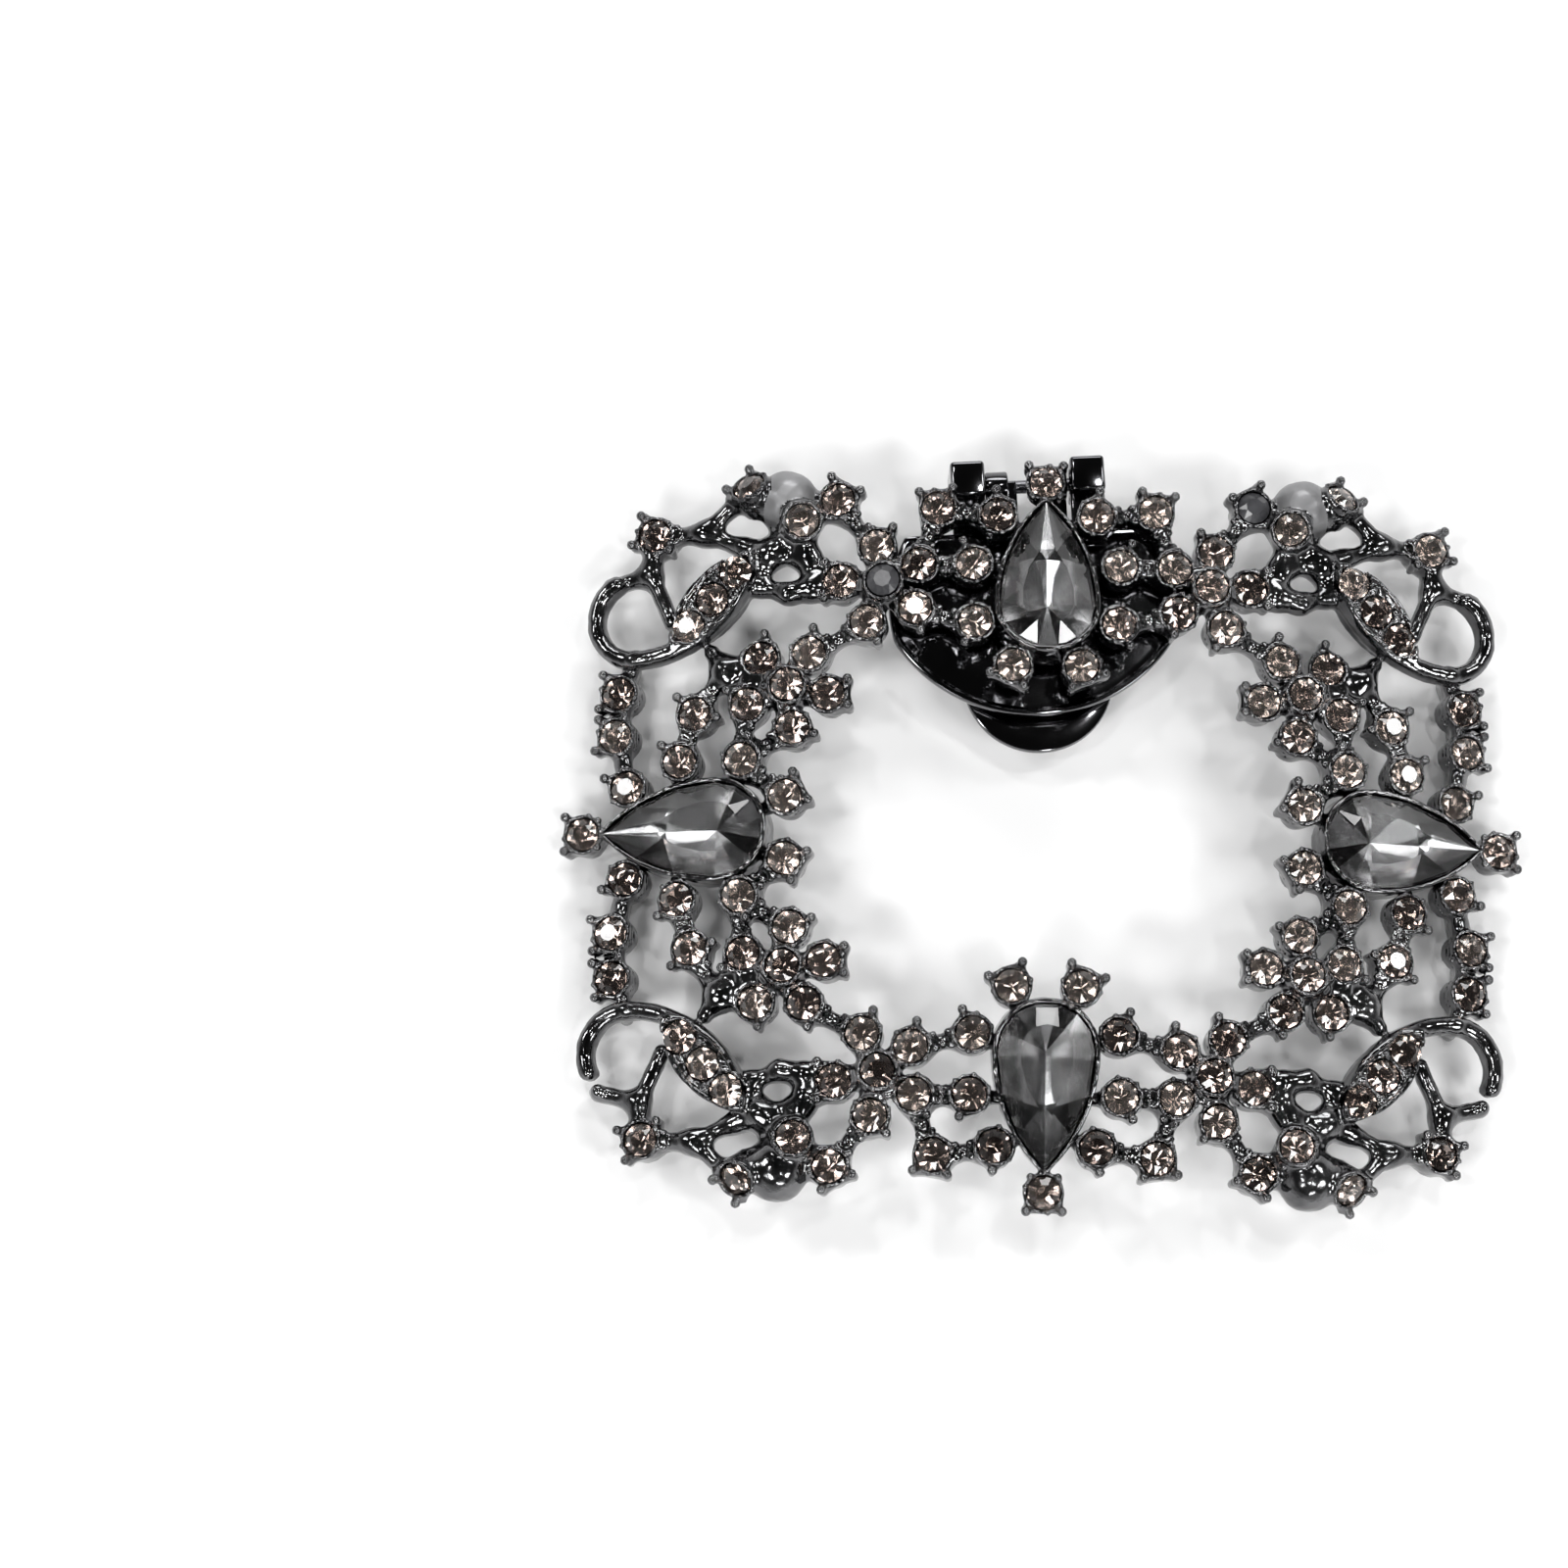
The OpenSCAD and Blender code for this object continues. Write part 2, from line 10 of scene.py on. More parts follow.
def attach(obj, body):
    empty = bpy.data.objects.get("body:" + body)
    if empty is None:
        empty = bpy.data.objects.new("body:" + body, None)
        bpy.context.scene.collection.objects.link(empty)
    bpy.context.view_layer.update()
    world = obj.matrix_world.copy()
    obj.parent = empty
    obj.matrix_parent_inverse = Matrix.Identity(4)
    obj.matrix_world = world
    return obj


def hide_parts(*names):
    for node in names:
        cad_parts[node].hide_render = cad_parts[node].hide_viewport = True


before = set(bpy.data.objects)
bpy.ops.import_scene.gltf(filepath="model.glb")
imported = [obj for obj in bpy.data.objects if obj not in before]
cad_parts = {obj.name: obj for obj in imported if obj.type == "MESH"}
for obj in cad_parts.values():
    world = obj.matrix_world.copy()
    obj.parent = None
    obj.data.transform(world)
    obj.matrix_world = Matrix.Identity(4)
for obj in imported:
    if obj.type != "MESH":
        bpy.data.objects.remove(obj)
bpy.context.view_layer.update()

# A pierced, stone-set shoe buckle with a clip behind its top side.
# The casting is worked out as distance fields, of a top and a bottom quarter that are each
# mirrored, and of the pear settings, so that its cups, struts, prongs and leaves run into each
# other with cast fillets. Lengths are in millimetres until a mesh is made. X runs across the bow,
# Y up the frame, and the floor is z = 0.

MM = 0.001
BODY = "buckle"
JAW_BODY = "jaw"

# Frame
FRAME_W = 67.8
FRAME_H = 53.2
BOW_R = 88.0
CROWN_H = 9.4
STRUT_W = 1.0
STRUT_T = 1.5
STRUT_DROP = 0.5
RAIL_W = 1.0
HALF_W = FRAME_W / 2
HALF_H = FRAME_H / 2
STRUT_Z = -STRUT_DROP - STRUT_T / 2

# Small stones and their cups
STONE_R = 1.2
STONE_CROWN = 0.45
STONE_DEPTH = 1.1
STONE_TABLE = 1.3
SEAT_R = STONE_R + 0.06
CUP_R = SEAT_R + 0.26
CUP_DEPTH = 2.2
CUP_RIM = 0.1
PRONG_R = 0.38
PRONG_REACH = 0.3
PRONG_H = 0.35
SEAT_FLOOR = STONE_DEPTH + 0.15
FLOWER_PITCH = 2 * CUP_R + 0.04
FLOWER_LIFT = 1.0
# Spread of the stones' tilt, in degrees, and the seats whose stones have lost their foil
STONE_LEAN = 2.2
DULL_STONES = {("ne", "e1"), ("nw", "f0")}

# Prongs: the fin's root, its outer end, the rod on it, and the skirts between neighbours
PRONG_FOOT = 1.5
PRONG_ROOT_R = 0.78
FIN_R = 0.24
ROD_R = 0.27
SKIRT_R = 0.25
SKIRT_SPREAD = 110
SKIRT_HOLLOW = 0.16

# Grains between cups, round a seat's rim and along a leaf
GRAIN_R = 0.3
RIM_GRAINS = 6
RIM_GRAIN_R = 0.24
RIM_GRAIN_CLEAR = 28
LEAF_GRAIN_R = 0.27

# Pear stones and their settings
PEAR_W = 7.0
PEAR_L = 12.0
PEAR_CROWN = 1.1
PEAR_DEPTH = 1.5
PEAR_TABLE = 3.8
BEZEL_WALL = 0.34
BEZEL_RIM = 0.35
BEZEL_DEPTH = 2.3
PEAR_GAP = 0.06
PEAR_TILT = 11.5
TIP_CUP_DEPTH = 1.5
TIP_PRONGS = (45, 135)
KEEL_SPLIT = 0.5
LINK_Z = STRUT_T * 0.7 / 3 - BEZEL_DEPTH
PEAR_TIP = PEAR_L - PEAR_W / 2
SETTING_W = PEAR_W + 2 * (PEAR_GAP + BEZEL_WALL)
SETTING_TIP = PEAR_TIP + PEAR_GAP + BEZEL_WALL
TIP_REACH = SETTING_TIP + CUP_R - 0.3

# Corner
HOOK_R = 3.15
HOOK_W = 1.4
HOOK_T = 1.3
HOOK_TURN = 114
TOP_HOOK_TURN = 150
STEM_R = 9.1
STEM_TURN = 65
LEAF_L = 9.6
LEAF_W = 3.8
LEAF_PITCH = 2.7
LEAF_RIM = 0.35
LEAF_WALL = 0.35
LEAF_TURN = 132
LEAF_SINK = 0.1
BULB_R = 2.35
SHOULDER_TURN = 215
SHOULDER_LEAN = 14
STEEP_TURN = 60
STEEP_LEAN = 40

# Clip
PLATE_T = 0.9
PLATE_Z = 5.9
PLATE_R = 12.3
PLATE_SIDE_R = 10.9
PLATE_Y = HALF_H * 0.808
PLATE_SIDE_Y = HALF_H * 0.669
PLATE_EDGE = HALF_H * 0.88
PLATE_AIR = 0.05
JAW_W = 11.2
JAW_L = 20.4
JAW_T = 0.8
JAW_GAP = 1.2
HINGE_Y = HALF_H * 1.026
JAW_Z = PLATE_Z - PLATE_T - JAW_GAP - JAW_T
HINGE_Z = JAW_Z + 1.2
KNUCKLE_R = 1.2
KNUCKLE_W = 1.7
EAR_W = 2.55
EAR_L = 2.7
JAW_NECK_Y = HINGE_Y - EAR_L / 2 - 1.2
EAR_RISE = 1.3
EARS_SPAN = 11.5
EAR_IN = EARS_SPAN / 2 - EAR_W
KNUCKLE_IN = EAR_IN - 0.15 - KNUCKLE_W
TAB_W = 0.8
TAB_H = 2.3
TAB_IN = KNUCKLE_IN - TAB_W * 0.75
CLIP_TURN = 4
CLIP_SHIFT = -0.6
NO_LIMIT = 1e6

# Mesh step of the casting
STEP = 0.165

# The photograph's view: direction, turn about the line of sight, distance and offset of its middle
VIEW_AZIMUTH = -2.42
VIEW_ELEVATION = 76.58
VIEW_ROLL = 3.45
VIEW_DISTANCE = 331.0
VIEW_OFFSET = (19.10, -3.01)
VIEW_LENS = 104.6

# Lamps: name, azimuth, elevation, height of the panel, radiance, width over height
LAMP_DISTANCE = 600
LAMPS = (
    ("key", -38, 50, 130, 19, 1.5),
    ("fill", 55, 46, 130, 18, 1.5),
    ("back", 178, 34, 150, 8, 3.0),
    ("left", -112, 42, 110, 18, 1.0),
    ("right", 118, 44, 110, 18, 1.0),
    ("front", 10, 28, 90, 18, 2.0),
    ("spark_a", 22, 68, 44, 62, 1.0),
    ("spark_b", 130, 72, 44, 62, 1.0),
    ("spark_c", -75, 66, 44, 62, 1.0),
    ("spark_d", -150, 60, 44, 62, 1.0),
)

# Surroundings by height: pale walls under a dark ceiling
ROOM = ((0.0, 0.9), (0.22, 0.4), (0.42, 0.06), (0.95, 0.015))
ROOM_STRENGTH = 1.25
FLOOR_HALF = 900

# Tones of a pear stone's foil, lit, mid and shaded copies of one foil that paint its facets' highlights
# and shade, and which of them each facet below its girdle has
FOIL_PAINTED_LIGHT_TONES = (0.98, 0.5, 0.18)
FOIL_PAINTED_LIGHT_FACETS = (1, 2, 1, 0, 2, 0, 0, 0, 2, 0, 1, 2, 1, 0, 1)

# Colour of the small stones' glass, and roughness of their foil
STONE_TINTS = (
    ((0.74, 0.67, 0.64), 0.10),
    ((0.64, 0.57, 0.54), 0.07),
    ((0.80, 0.75, 0.72), 0.12),
)
STONE_FOIL = (0.85, 0.80, 0.77)
PEAR_GLASS = (0.66, 0.66, 0.67)

# Seats of the quarter: name: share of half the width, share of half the height, lift
SEATS = {
    "p1": (0.074, 0.449, 0.4),
    "p2": (0.156, 0.577, 0),
    "p3": (0.161, 0.744, -0.2),
    "p4": (0.108, 0.885, -0.1),
    "p5": (0.238, 0.908, -0.5),
    "e1": (0.456, 0.938, -0.6),
    "k1": (0.534, 0.866, 0.9),
    "k3": (0.858, 0.857, -0.2),
    "q1": (0.562, 0.088, 0),
    "q2": (0.659, 0.192, 0.4),
    "q3": (0.792, 0.195, 0.2),
    "q4": (0.761, 0.332, -0.2),
    "r1": (0.906, 0.130, 0),
    "r2": (0.934, 0.280, -0.1),
    "r3": (0.930, 0.405, -0.3),
    "f0": (0.358, 0.686, FLOWER_LIFT),
    "g0": (0.563, 0.395, FLOWER_LIFT),
    "l0": (0.729, 0.656, 0.4),
}
# Petals of the two flowers: name: flower's centre, direction in degrees, lift
PETALS = {
    "f1": ("f0", 218, 0.1),
    "f2": ("f0", 150, -0.2),
    "f3": ("f0", 291, 0),
    "f4": ("f0", 82, -0.5),
    "f5": ("f0", 9, -0.7),
    "g1": ("g0", 190, 0),
    "g2": ("g0", 261, 0),
    "g3": ("g0", 338, 0),
    "g4": ("g0", 122, 0),
    "g5": ("g0", 52, -0.5),
}
# Places where struts meet without a stone: name: share across, share up, lift
JOINTS = {
    "web": (0.518, 0.775, 0),
    "beak_low": (0.510, 0.684, 0.3),
    "beak_top": (0.562, 0.672, 0.4),
    "stem_high": (0.629, 0.702, 0),
    "column": (0.603, 0.790, 0.2),
    "stem_end": (0.725, 0.513, 0),
    "fork": (0.696, 0.462, 0),
    "point": (0.745, 0.862, 0.1),
    "leaf_foot": (0.655, 0.812, 0),
    "leaf_tip": (0.816, 0.612, 0),
    "brace": (0.864, 0.752, 0.2),
    "nub": (0.952, 0.720, 0.3),
    "bulb": (0.566, 0.942, -1.2),
    "steep": (0.652, 0.975, 0.5),
    "hook_low": (0.896, 0.498, 0),
}
# Prongs with a round end: seat: directions in degrees
PRONGS = {
    "p1": (246, 340), "p2": (294,), "p3": (66,), "p4": (85,), "p5": (126, 40),
    "e1": (160, 75), "k3": (225, 338, 57), "q1": (193, 110), "q2": (110,), "q3": (43,),
    "q4": (192, 45), "r1": (24,), "r2": (324, 46), "r3": (321, 52),
    "f1": (256,), "f3": (242,), "f4": (132,), "f5": (311, 50),
    "g1": (212, 146), "g2": (199,), "g3": (36,), "g4": (101,), "g5": (100,),
}
# Struts, each between two named places
STRUTS = (
    "p4 p5", "p5 f2", "p2 f1", "p3 f2", "f4 e1", "e1 k1", "k1 bulb", "e1 bulb", "k1 column",
    "f3 g4", "f5 web", "web k1", "f5 beak_low", "beak_low web", "beak_low beak_top",
    "beak_top stem_high", "web column", "stem_high column", "column bulb", "bulb steep",
    "column leaf_foot", "leaf_foot point", "point steep", "point k3", "leaf_tip brace",
    "brace k3", "brace nub", "g0 fork", "g5 fork", "fork stem_end", "fork q4", "q4 q3",
    "g2 q2", "g3 q2", "q1 q2", "g3 fork",
)
# Places along the side rail, and how far inside each of them it stands, in cup radii
RAIL = {"r1": 0.14, "r2": 0.35, "r3": 0.35, "hook_low": 0}
# Cups with a foot to a pear setting: setting: axis that its point lies along, cups
PEAR_CUPS = {"top": (1, ("p1", "p2", "p3", "p4")), "right": (0, ("q1", "q2", "q3", "r1"))}
QUARTERS = {"ne": (1, 1), "nw": (-1, 1), "sw": (-1, -1), "se": (1, -1)}


# Turns and places

def turn_x(degrees):
    return np.array(Matrix.Rotation(math.radians(degrees), 3, "X"))


def turn_y(degrees):
    return np.array(Matrix.Rotation(math.radians(degrees), 3, "Y"))


def turn_z(degrees):
    return np.array(Matrix.Rotation(math.radians(degrees), 3, "Z"))


def bow_z(x):
    return CROWN_H - x * x / (2 * BOW_R)


def bow_turn(x):
    return turn_y(math.degrees(math.atan(x / BOW_R)))


def place(name):
    """A named place of the quarter: x, y and lift above the bow."""
    if name in PETALS:
        centre, direction, lift = PETALS[name]
        x, y, _ = place(centre)
        a = math.radians(direction)
        return x + FLOWER_PITCH * math.cos(a), y + FLOWER_PITCH * math.sin(a), lift
    x, y, lift = SEATS[name] if name in SEATS else JOINTS[name]
    return x * HALF_W, y * HALF_H, lift


def at_bow(name, height=0.0):
    x, y, lift = place(name)
    return np.array([x, y, bow_z(x) + lift + height])


def quarter_seats():
    """Every round seat of a quarter outside the leaf: name, girdle's centre, axes."""
    seats = []
    for name in list(SEATS) + list(PETALS) + ["steep"]:
        turn = bow_turn(place(name)[0])
        if name == "k1":
            turn = turn @ turn_z(SHOULDER_TURN) @ turn_y(SHOULDER_LEAN)
        if name == "steep":
            turn = turn @ turn_z(STEEP_TURN) @ turn_y(STEEP_LEAN)
        if name != "l0":
            seats.append((name, at_bow(name), turn))
    return seats


def leaf_axes():
    return at_bow("l0"), bow_turn(place("l0")[0]) @ turn_z(LEAF_TURN)


def beside(centre, turn, direction, r, z):
    """A point in a seat's own axes, by its direction in degrees, distance and height."""
    a = math.radians(direction)
    return centre + turn @ np.array([r * math.cos(a), r * math.sin(a), z])


def apart(a, b):
    """The angle between two directions in degrees."""
    return abs((a - b + 180) % 360 - 180)


def leaf_seats():
    centre, turn = leaf_axes()
    return [
        ("leaf_%d" % i, centre + turn @ np.array([i * LEAF_PITCH, 0, -LEAF_SINK]), turn)
        for i in (-1, 0, 1)
    ]


def pear_places():
    """Widest point and axes of each pear stone, whose own Y runs to its point."""
    pear_y = HALF_H - TIP_REACH * math.cos(math.radians(PEAR_TILT))
    slope = math.atan((HALF_W - TIP_REACH) / BOW_R)
    pear_x = HALF_W - TIP_REACH * math.cos(slope)
    top = (np.array([0, pear_y, CROWN_H]), turn_x(-PEAR_TILT))
    right = (np.array([pear_x, 0, bow_z(pear_x)]), bow_turn(pear_x) @ turn_z(-90))
    return {
        "top": (*top, (1, 1)),
        "bottom": (*top, (1, -1)),
        "right": (*right, (1, 1)),
        "left": (*right, (-1, 1)),
    }


# Distance fields

def soft_min(a, b, soft):
    """The smaller of two distances, with a fillet where they are equal."""
    h = np.clip(0.5 + 0.5 * (b - a) / soft, 0, 1)
    return b + (a - b) * h - soft * h * (1 - h)


class Field:
    """Distance to a solid at the points of a grid, in millimetres; negative inside."""

    FAR = 5.0

    def __init__(self, low, high, step):
        self.low = np.array(low, float)
        self.step = step
        self.size = np.ceil((np.array(high) - self.low) / step).astype(int) + 1
        self.values = np.full(self.size, self.FAR, np.float32)

    def window(self, centre, reach):
        first = np.floor((centre - reach - self.low) / self.step).astype(int)
        last = np.ceil((centre + reach - self.low) / self.step).astype(int) + 1
        first = np.clip(first, 0, self.size)
        last = np.clip(last, 0, self.size)
        part = tuple(slice(a, b) for a, b in zip(first, last))
        axes = [self.low[i] + self.step * np.arange(first[i], last[i]) for i in range(3)]
        return part, np.meshgrid(*axes, indexing="ij")

    def measure(self, shape, centre, turn, reach):
        """The shape's distances, in its own axes, at the grid points within reach."""
        centre = np.array(centre, float)
        part, grid = self.window(centre, np.array(reach, float))
        p = [g - c for g, c in zip(grid, centre)]
        own = [sum(p[j] * turn[j][i] for j in range(3)) for i in range(3)]
        return part, shape(*own).astype(np.float32)

    def add(self, shape, centre, turn, reach, soft):
        part, distance = self.measure(shape, centre, turn, reach)
        self.values[part] = soft_min(self.values[part], distance, soft)

    def cut(self, shape, centre, turn, reach, soft):
        part, distance = self.measure(shape, centre, turn, reach)
        self.values[part] = -soft_min(-self.values[part], distance, soft)

    def stick(self, a, b, r, soft, tall=0.0, r_end=None):
        """A rod from a to b with round ends, taller than wide, that may taper."""
        a = np.array(a, float)
        b = np.array(b, float)
        half = np.linalg.norm(b - a) / 2
        if half < 1e-6:
            return
        along = (b - a) / (2 * half)
        side = np.cross([0.0, 0.0, 1.0], along)
        width = np.linalg.norm(side)
        side = side / width if width > 1e-6 else np.array([0.0, 1.0, 0.0])
        turn = np.stack([along, side, np.cross(along, side)], 1)
        r_end = r if r_end is None else r_end

        def shape(x, y, z):
            t = np.clip(x / half, -1, 1)
            radius = (r + r_end) / 2 + (r_end - r) / 2 * t
            rise = np.maximum(np.abs(z) - tall, 0)
            return np.sqrt((x - t * half) ** 2 + y * y + rise * rise) - radius

        reach = np.abs(b - a) / 2 + max(r, r_end) + tall + soft + 2 * self.step
        self.add(shape, (a + b) / 2, turn, reach, soft)

    def ball(self, centre, r, soft):
        def shape(x, y, z):
            return np.sqrt(x * x + y * y + z * z) - r

        self.add(shape, centre, np.eye(3), [r + soft + 2 * self.step] * 3, soft)

    def at(self, point):
        """The distance at the grid point nearest to a point."""
        return self.values[tuple(np.round((np.array(point) - self.low) / self.step).astype(int))]

    def surface(self):
        """Vertices and four-sided faces of the zero surface, one vertex in each cell it crosses."""
        values = self.values
        inside = values < 0
        cells = np.array(values.shape) - 1
        total = np.zeros((3, cells.prod()))
        count = np.zeros(cells.prod())
        quads = []
        for axis in range(3):
            u, v = (axis + 1) % 3, (axis + 2) % 3
            low = [slice(None)] * 3
            high = [slice(None)] * 3
            low[axis] = slice(0, -1)
            high[axis] = slice(1, None)
            low, high = tuple(low), tuple(high)
            edge = np.argwhere(inside[low] != inside[high])
            at = tuple(edge.T)
            first = values[low][at]
            share = first / (first - values[high][at])
            point = edge.astype(float)
            point[:, axis] += share
            corners = []
            for du, dv in ((0, 0), (-1, 0), (-1, -1), (0, -1)):
                cell = edge.copy()
                cell[:, u] += du
                cell[:, v] += dv
                flat = np.ravel_multi_index(tuple(cell.T), tuple(cells))
                corners.append(flat)
                count += np.bincount(flat, minlength=len(count))
                for k in range(3):
                    total[k] += np.bincount(flat, weights=point[:, k], minlength=len(count))
            quad = np.stack(corners, 1)
            flip = first >= 0
            quad[flip] = quad[flip][:, ::-1]
            quads.append(quad)
        used = np.flatnonzero(count)
        index = np.full(len(count), -1)
        index[used] = np.arange(len(used))
        points = (total[:, used] / count[used]).T * self.step + self.low
        return points, index[np.concatenate(quads)]


def rounded(flat, ends, edge):
    """A solid between two flat ends, from its distances with the edges' radius added."""
    outside = np.sqrt(np.maximum(flat, 0) ** 2 + np.maximum(ends, 0) ** 2)
    return np.minimum(np.maximum(flat, ends), 0) + outside - edge


def round_cup(depth, rim=CUP_RIM):
    """A cup that narrows a little downwards, with rounded edges."""
    edge = 0.1

    def shape(x, y, z):
        narrow = 0.14 * np.clip(-z / depth, 0, 1)
        wall = np.sqrt(x * x + y * y) - CUP_R + narrow + edge
        ends = np.abs(z - (rim - depth) / 2) - (rim + depth) / 2 + edge
        return rounded(wall, ends, edge)

    return shape


def seat_hole(x, y, z):
    return np.maximum(np.sqrt(x * x + y * y) - SEAT_R, -SEAT_FLOOR - z)


def arc_bar(radius, middle, half, r, low, high):
    """A bar along an arc that starts at the origin, whose section has a round top and foot."""
    tall = (high - low) / 2 - r
    middle = math.radians(middle)
    half = math.radians(half)

    def shape(x, y, z):
        y = y - radius
        along = x * math.cos(middle) + y * math.sin(middle)
        across = np.abs(y * math.cos(middle) - x * math.sin(middle))
        on_arc = np.abs(np.sqrt(along ** 2 + across ** 2) - radius)
        past_end = (along - radius * math.cos(half)) ** 2 + (across - radius * math.sin(half)) ** 2
        flat = np.where(np.arctan2(across, along) < half, on_arc, np.sqrt(past_end))
        rise = np.maximum(np.abs(z - (high + low) / 2) - tall, 0)
        return np.sqrt(flat ** 2 + rise ** 2) - r

    return shape


def leaf_blade(inset, low, high, edge):
    """A plate with the outline of a leaf, two equal arcs, and rounded edges."""
    arc_r = (LEAF_L ** 2 + LEAF_W ** 2) / (4 * LEAF_W)
    off = arc_r - LEAF_W / 2

    def shape(x, y, z):
        flat = np.sqrt(x * x + (np.abs(y) + off) ** 2) - arc_r + inset + edge
        ends = np.abs(z - (high + low) / 2) - (high - low) / 2 + edge
        return rounded(flat, ends, edge)

    return shape


def pear_flat(x, y, w, tip):
    """Distance to a pear outline: a half circle below, two long arcs that meet at the point."""
    big_r = (w * w / 4 + tip * tip) / w
    low = np.sqrt(x * x + y * y) - w / 2
    high = np.sqrt((np.abs(x) + big_r - w / 2) ** 2 + y * y) - big_r
    return np.where(y < 0, low, high)


def pear_prism(w, tip, low, high, edge):
    """A plate with a pear outline and rounded edges."""
    def shape(x, y, z):
        flat = pear_flat(x, y, w, tip) + edge
        ends = np.abs(z - (high + low) / 2) - (high - low) / 2 + edge
        return rounded(flat, ends, edge)

    return shape


def pear_hole():
    return pear_prism(PEAR_W + 2 * PEAR_GAP, PEAR_TIP + PEAR_GAP, -PEAR_DEPTH - 0.15, 4, 0.05)


# The casting

def add_prongs(field, centre, turn, directions, foot=PRONG_FOOT):
    """Fins, broad where they leave a cup's wall, that rise to balls, with skirts between them."""
    shoulders = []
    for direction in directions:
        root = beside(centre, turn, direction, CUP_R * 0.5, -foot / 2)
        shoulder = beside(centre, turn, direction, CUP_R + PRONG_REACH, -foot / 2)
        end = beside(centre, turn, direction, CUP_R + PRONG_REACH, PRONG_H)
        field.stick(root, shoulder, PRONG_ROOT_R, soft=0.3, tall=foot / 2 - 0.15, r_end=FIN_R)
        field.stick(shoulder, end, ROD_R, soft=0.12)
        field.ball(end, PRONG_R, soft=0.08)
        shoulders.append((direction, shoulder))
    for (first, a), (second, b) in combinations(shoulders, 2):
        if apart(first, second) <= SKIRT_SPREAD:
            middle = centre + turn @ np.array([0, 0, -foot / 2])
            hollow = (a + b) / 2 + (middle - (a + b) / 2) * SKIRT_HOLLOW
            field.stick(a, hollow, SKIRT_R, soft=0.25, tall=foot / 2 - SKIRT_R)
            field.stick(hollow, b, SKIRT_R, soft=0.25, tall=foot / 2 - SKIRT_R)


def add_setting_grains(field, centre, turn, prongs):
    """Small grains round a seat's rim that hold its stone, where no prong stands."""
    for i in range(RIM_GRAINS):
        direction = 360 // RIM_GRAINS * i + 18
        if all(apart(direction, p) >= RIM_GRAIN_CLEAR for p in prongs):
            field.ball(beside(centre, turn, direction, CUP_R * 0.93, 0.1), RIM_GRAIN_R, soft=0.06)


def add_neck_grains(field, seats):
    """A pair of grains where each strut leaves a level cup."""
    cups = {name: (centre, turn[:, 2]) for name, centre, turn in seats if name not in ("steep", "k1")}
    for pair in STRUTS:
        ends = pair.split()
        for here, there in (ends, ends[::-1]):
            if here not in cups:
                continue
            centre, up = cups[here]
            along = at_bow(there) - centre
            length = np.linalg.norm(along)
            if length < 2 * CUP_R + 0.6:
                continue
            along /= length
            side = np.cross(up, along)
            for s in (-1, 1):
                grain = centre + along * (CUP_R + 0.2) + side * s * 0.5 - up * 0.3
                field.ball(grain, GRAIN_R, soft=0.1)


def add_grains(field, seats):
    """Two small round grains between each pair of cups that touch."""
    for (_, a, turn), (_, b, _) in combinations(seats, 2):
        gap = b - a
        length = np.linalg.norm(gap)
        if length > 2 * CUP_R + 0.7:
            continue
        up = turn[:, 2]
        side = np.cross(up, gap / length)
        for s in (-1, 1):
            grain = (a + b) / 2 + up * 0.1 + side * s * 0.7
            if field.at(grain - up * 0.3) < 0:
                field.ball(grain, GRAIN_R, soft=0.15)


def cast_wobble(field):
    """The slight unevenness of a hand-finished casting."""
    axes = [field.low[i] + field.step * np.arange(field.size[i]) for i in range(3)]
    x, y, z = np.meshgrid(*axes, indexing="ij")
    slow = np.sin(1.9 * x + 0.7 * y + 1.3) * np.sin(1.7 * y - 0.6 * z + 0.4) * np.sin(1.6 * z + 0.8 * x)
    quick = np.sin(4.3 * x - 1.9 * z) * np.sin(4.7 * y + 2.3 * x + 0.9) * np.sin(3.9 * z + 1.1 * y)
    field.values += (0.045 * slow + 0.025 * quick).astype(np.float32)


def quarter_field(hook_turn):
    """The quarter of the casting where x and y are positive, down to the floor."""
    field = Field((-0.6, -0.6, -0.6), (HALF_W + 2.4, HALF_H + 2.4, CROWN_H + 1.8), STEP)
    seats = quarter_seats()
    reach = [CUP_R + CUP_DEPTH + 0.6] * 3
    for name, centre, turn in seats:
        field.add(round_cup(CUP_DEPTH), centre, turn, reach, 0.25)
    add_struts(field)
    add_rail(field)
    add_hook(field, hook_turn)
    add_leaf(field)
    add_bulb(field)
    add_pear_links(field)
    cast_wobble(field)
    add_grains(field, seats)
    add_neck_grains(field, seats)
    for name, centre, turn in seats:
        prongs = (-STEEP_TURN, 20) if name == "steep" else PRONGS.get(name, ())
        add_prongs(field, centre, turn, prongs)
        add_setting_grains(field, centre, turn, prongs)
    for name, centre, turn in seats + leaf_seats():
        field.cut(seat_hole, centre, turn, reach, 0.04)
    for name in PEAR_CUPS:
        centre, turn, _ = pear_places()[name]
        field.cut(pear_hole(), centre, turn, [14, 14, 8], 0.04)
    floor = field.low[2] + field.step * np.arange(field.size[2])
    field.values = np.maximum(field.values, -floor[None, None, :].astype(np.float32) + 0.01)
    return field


def add_struts(field):
    for pair in STRUTS:
        a, b = (at_bow(name, STRUT_Z) for name in pair.split())
        field.stick(a, b, STRUT_W * 0.6, soft=1.0, tall=STRUT_T / 2 - STRUT_W / 2)
    for name, (flower, _, _) in PETALS.items():
        field.stick(at_bow(name, STRUT_Z), at_bow(flower, STRUT_Z), STRUT_W, soft=0.3)


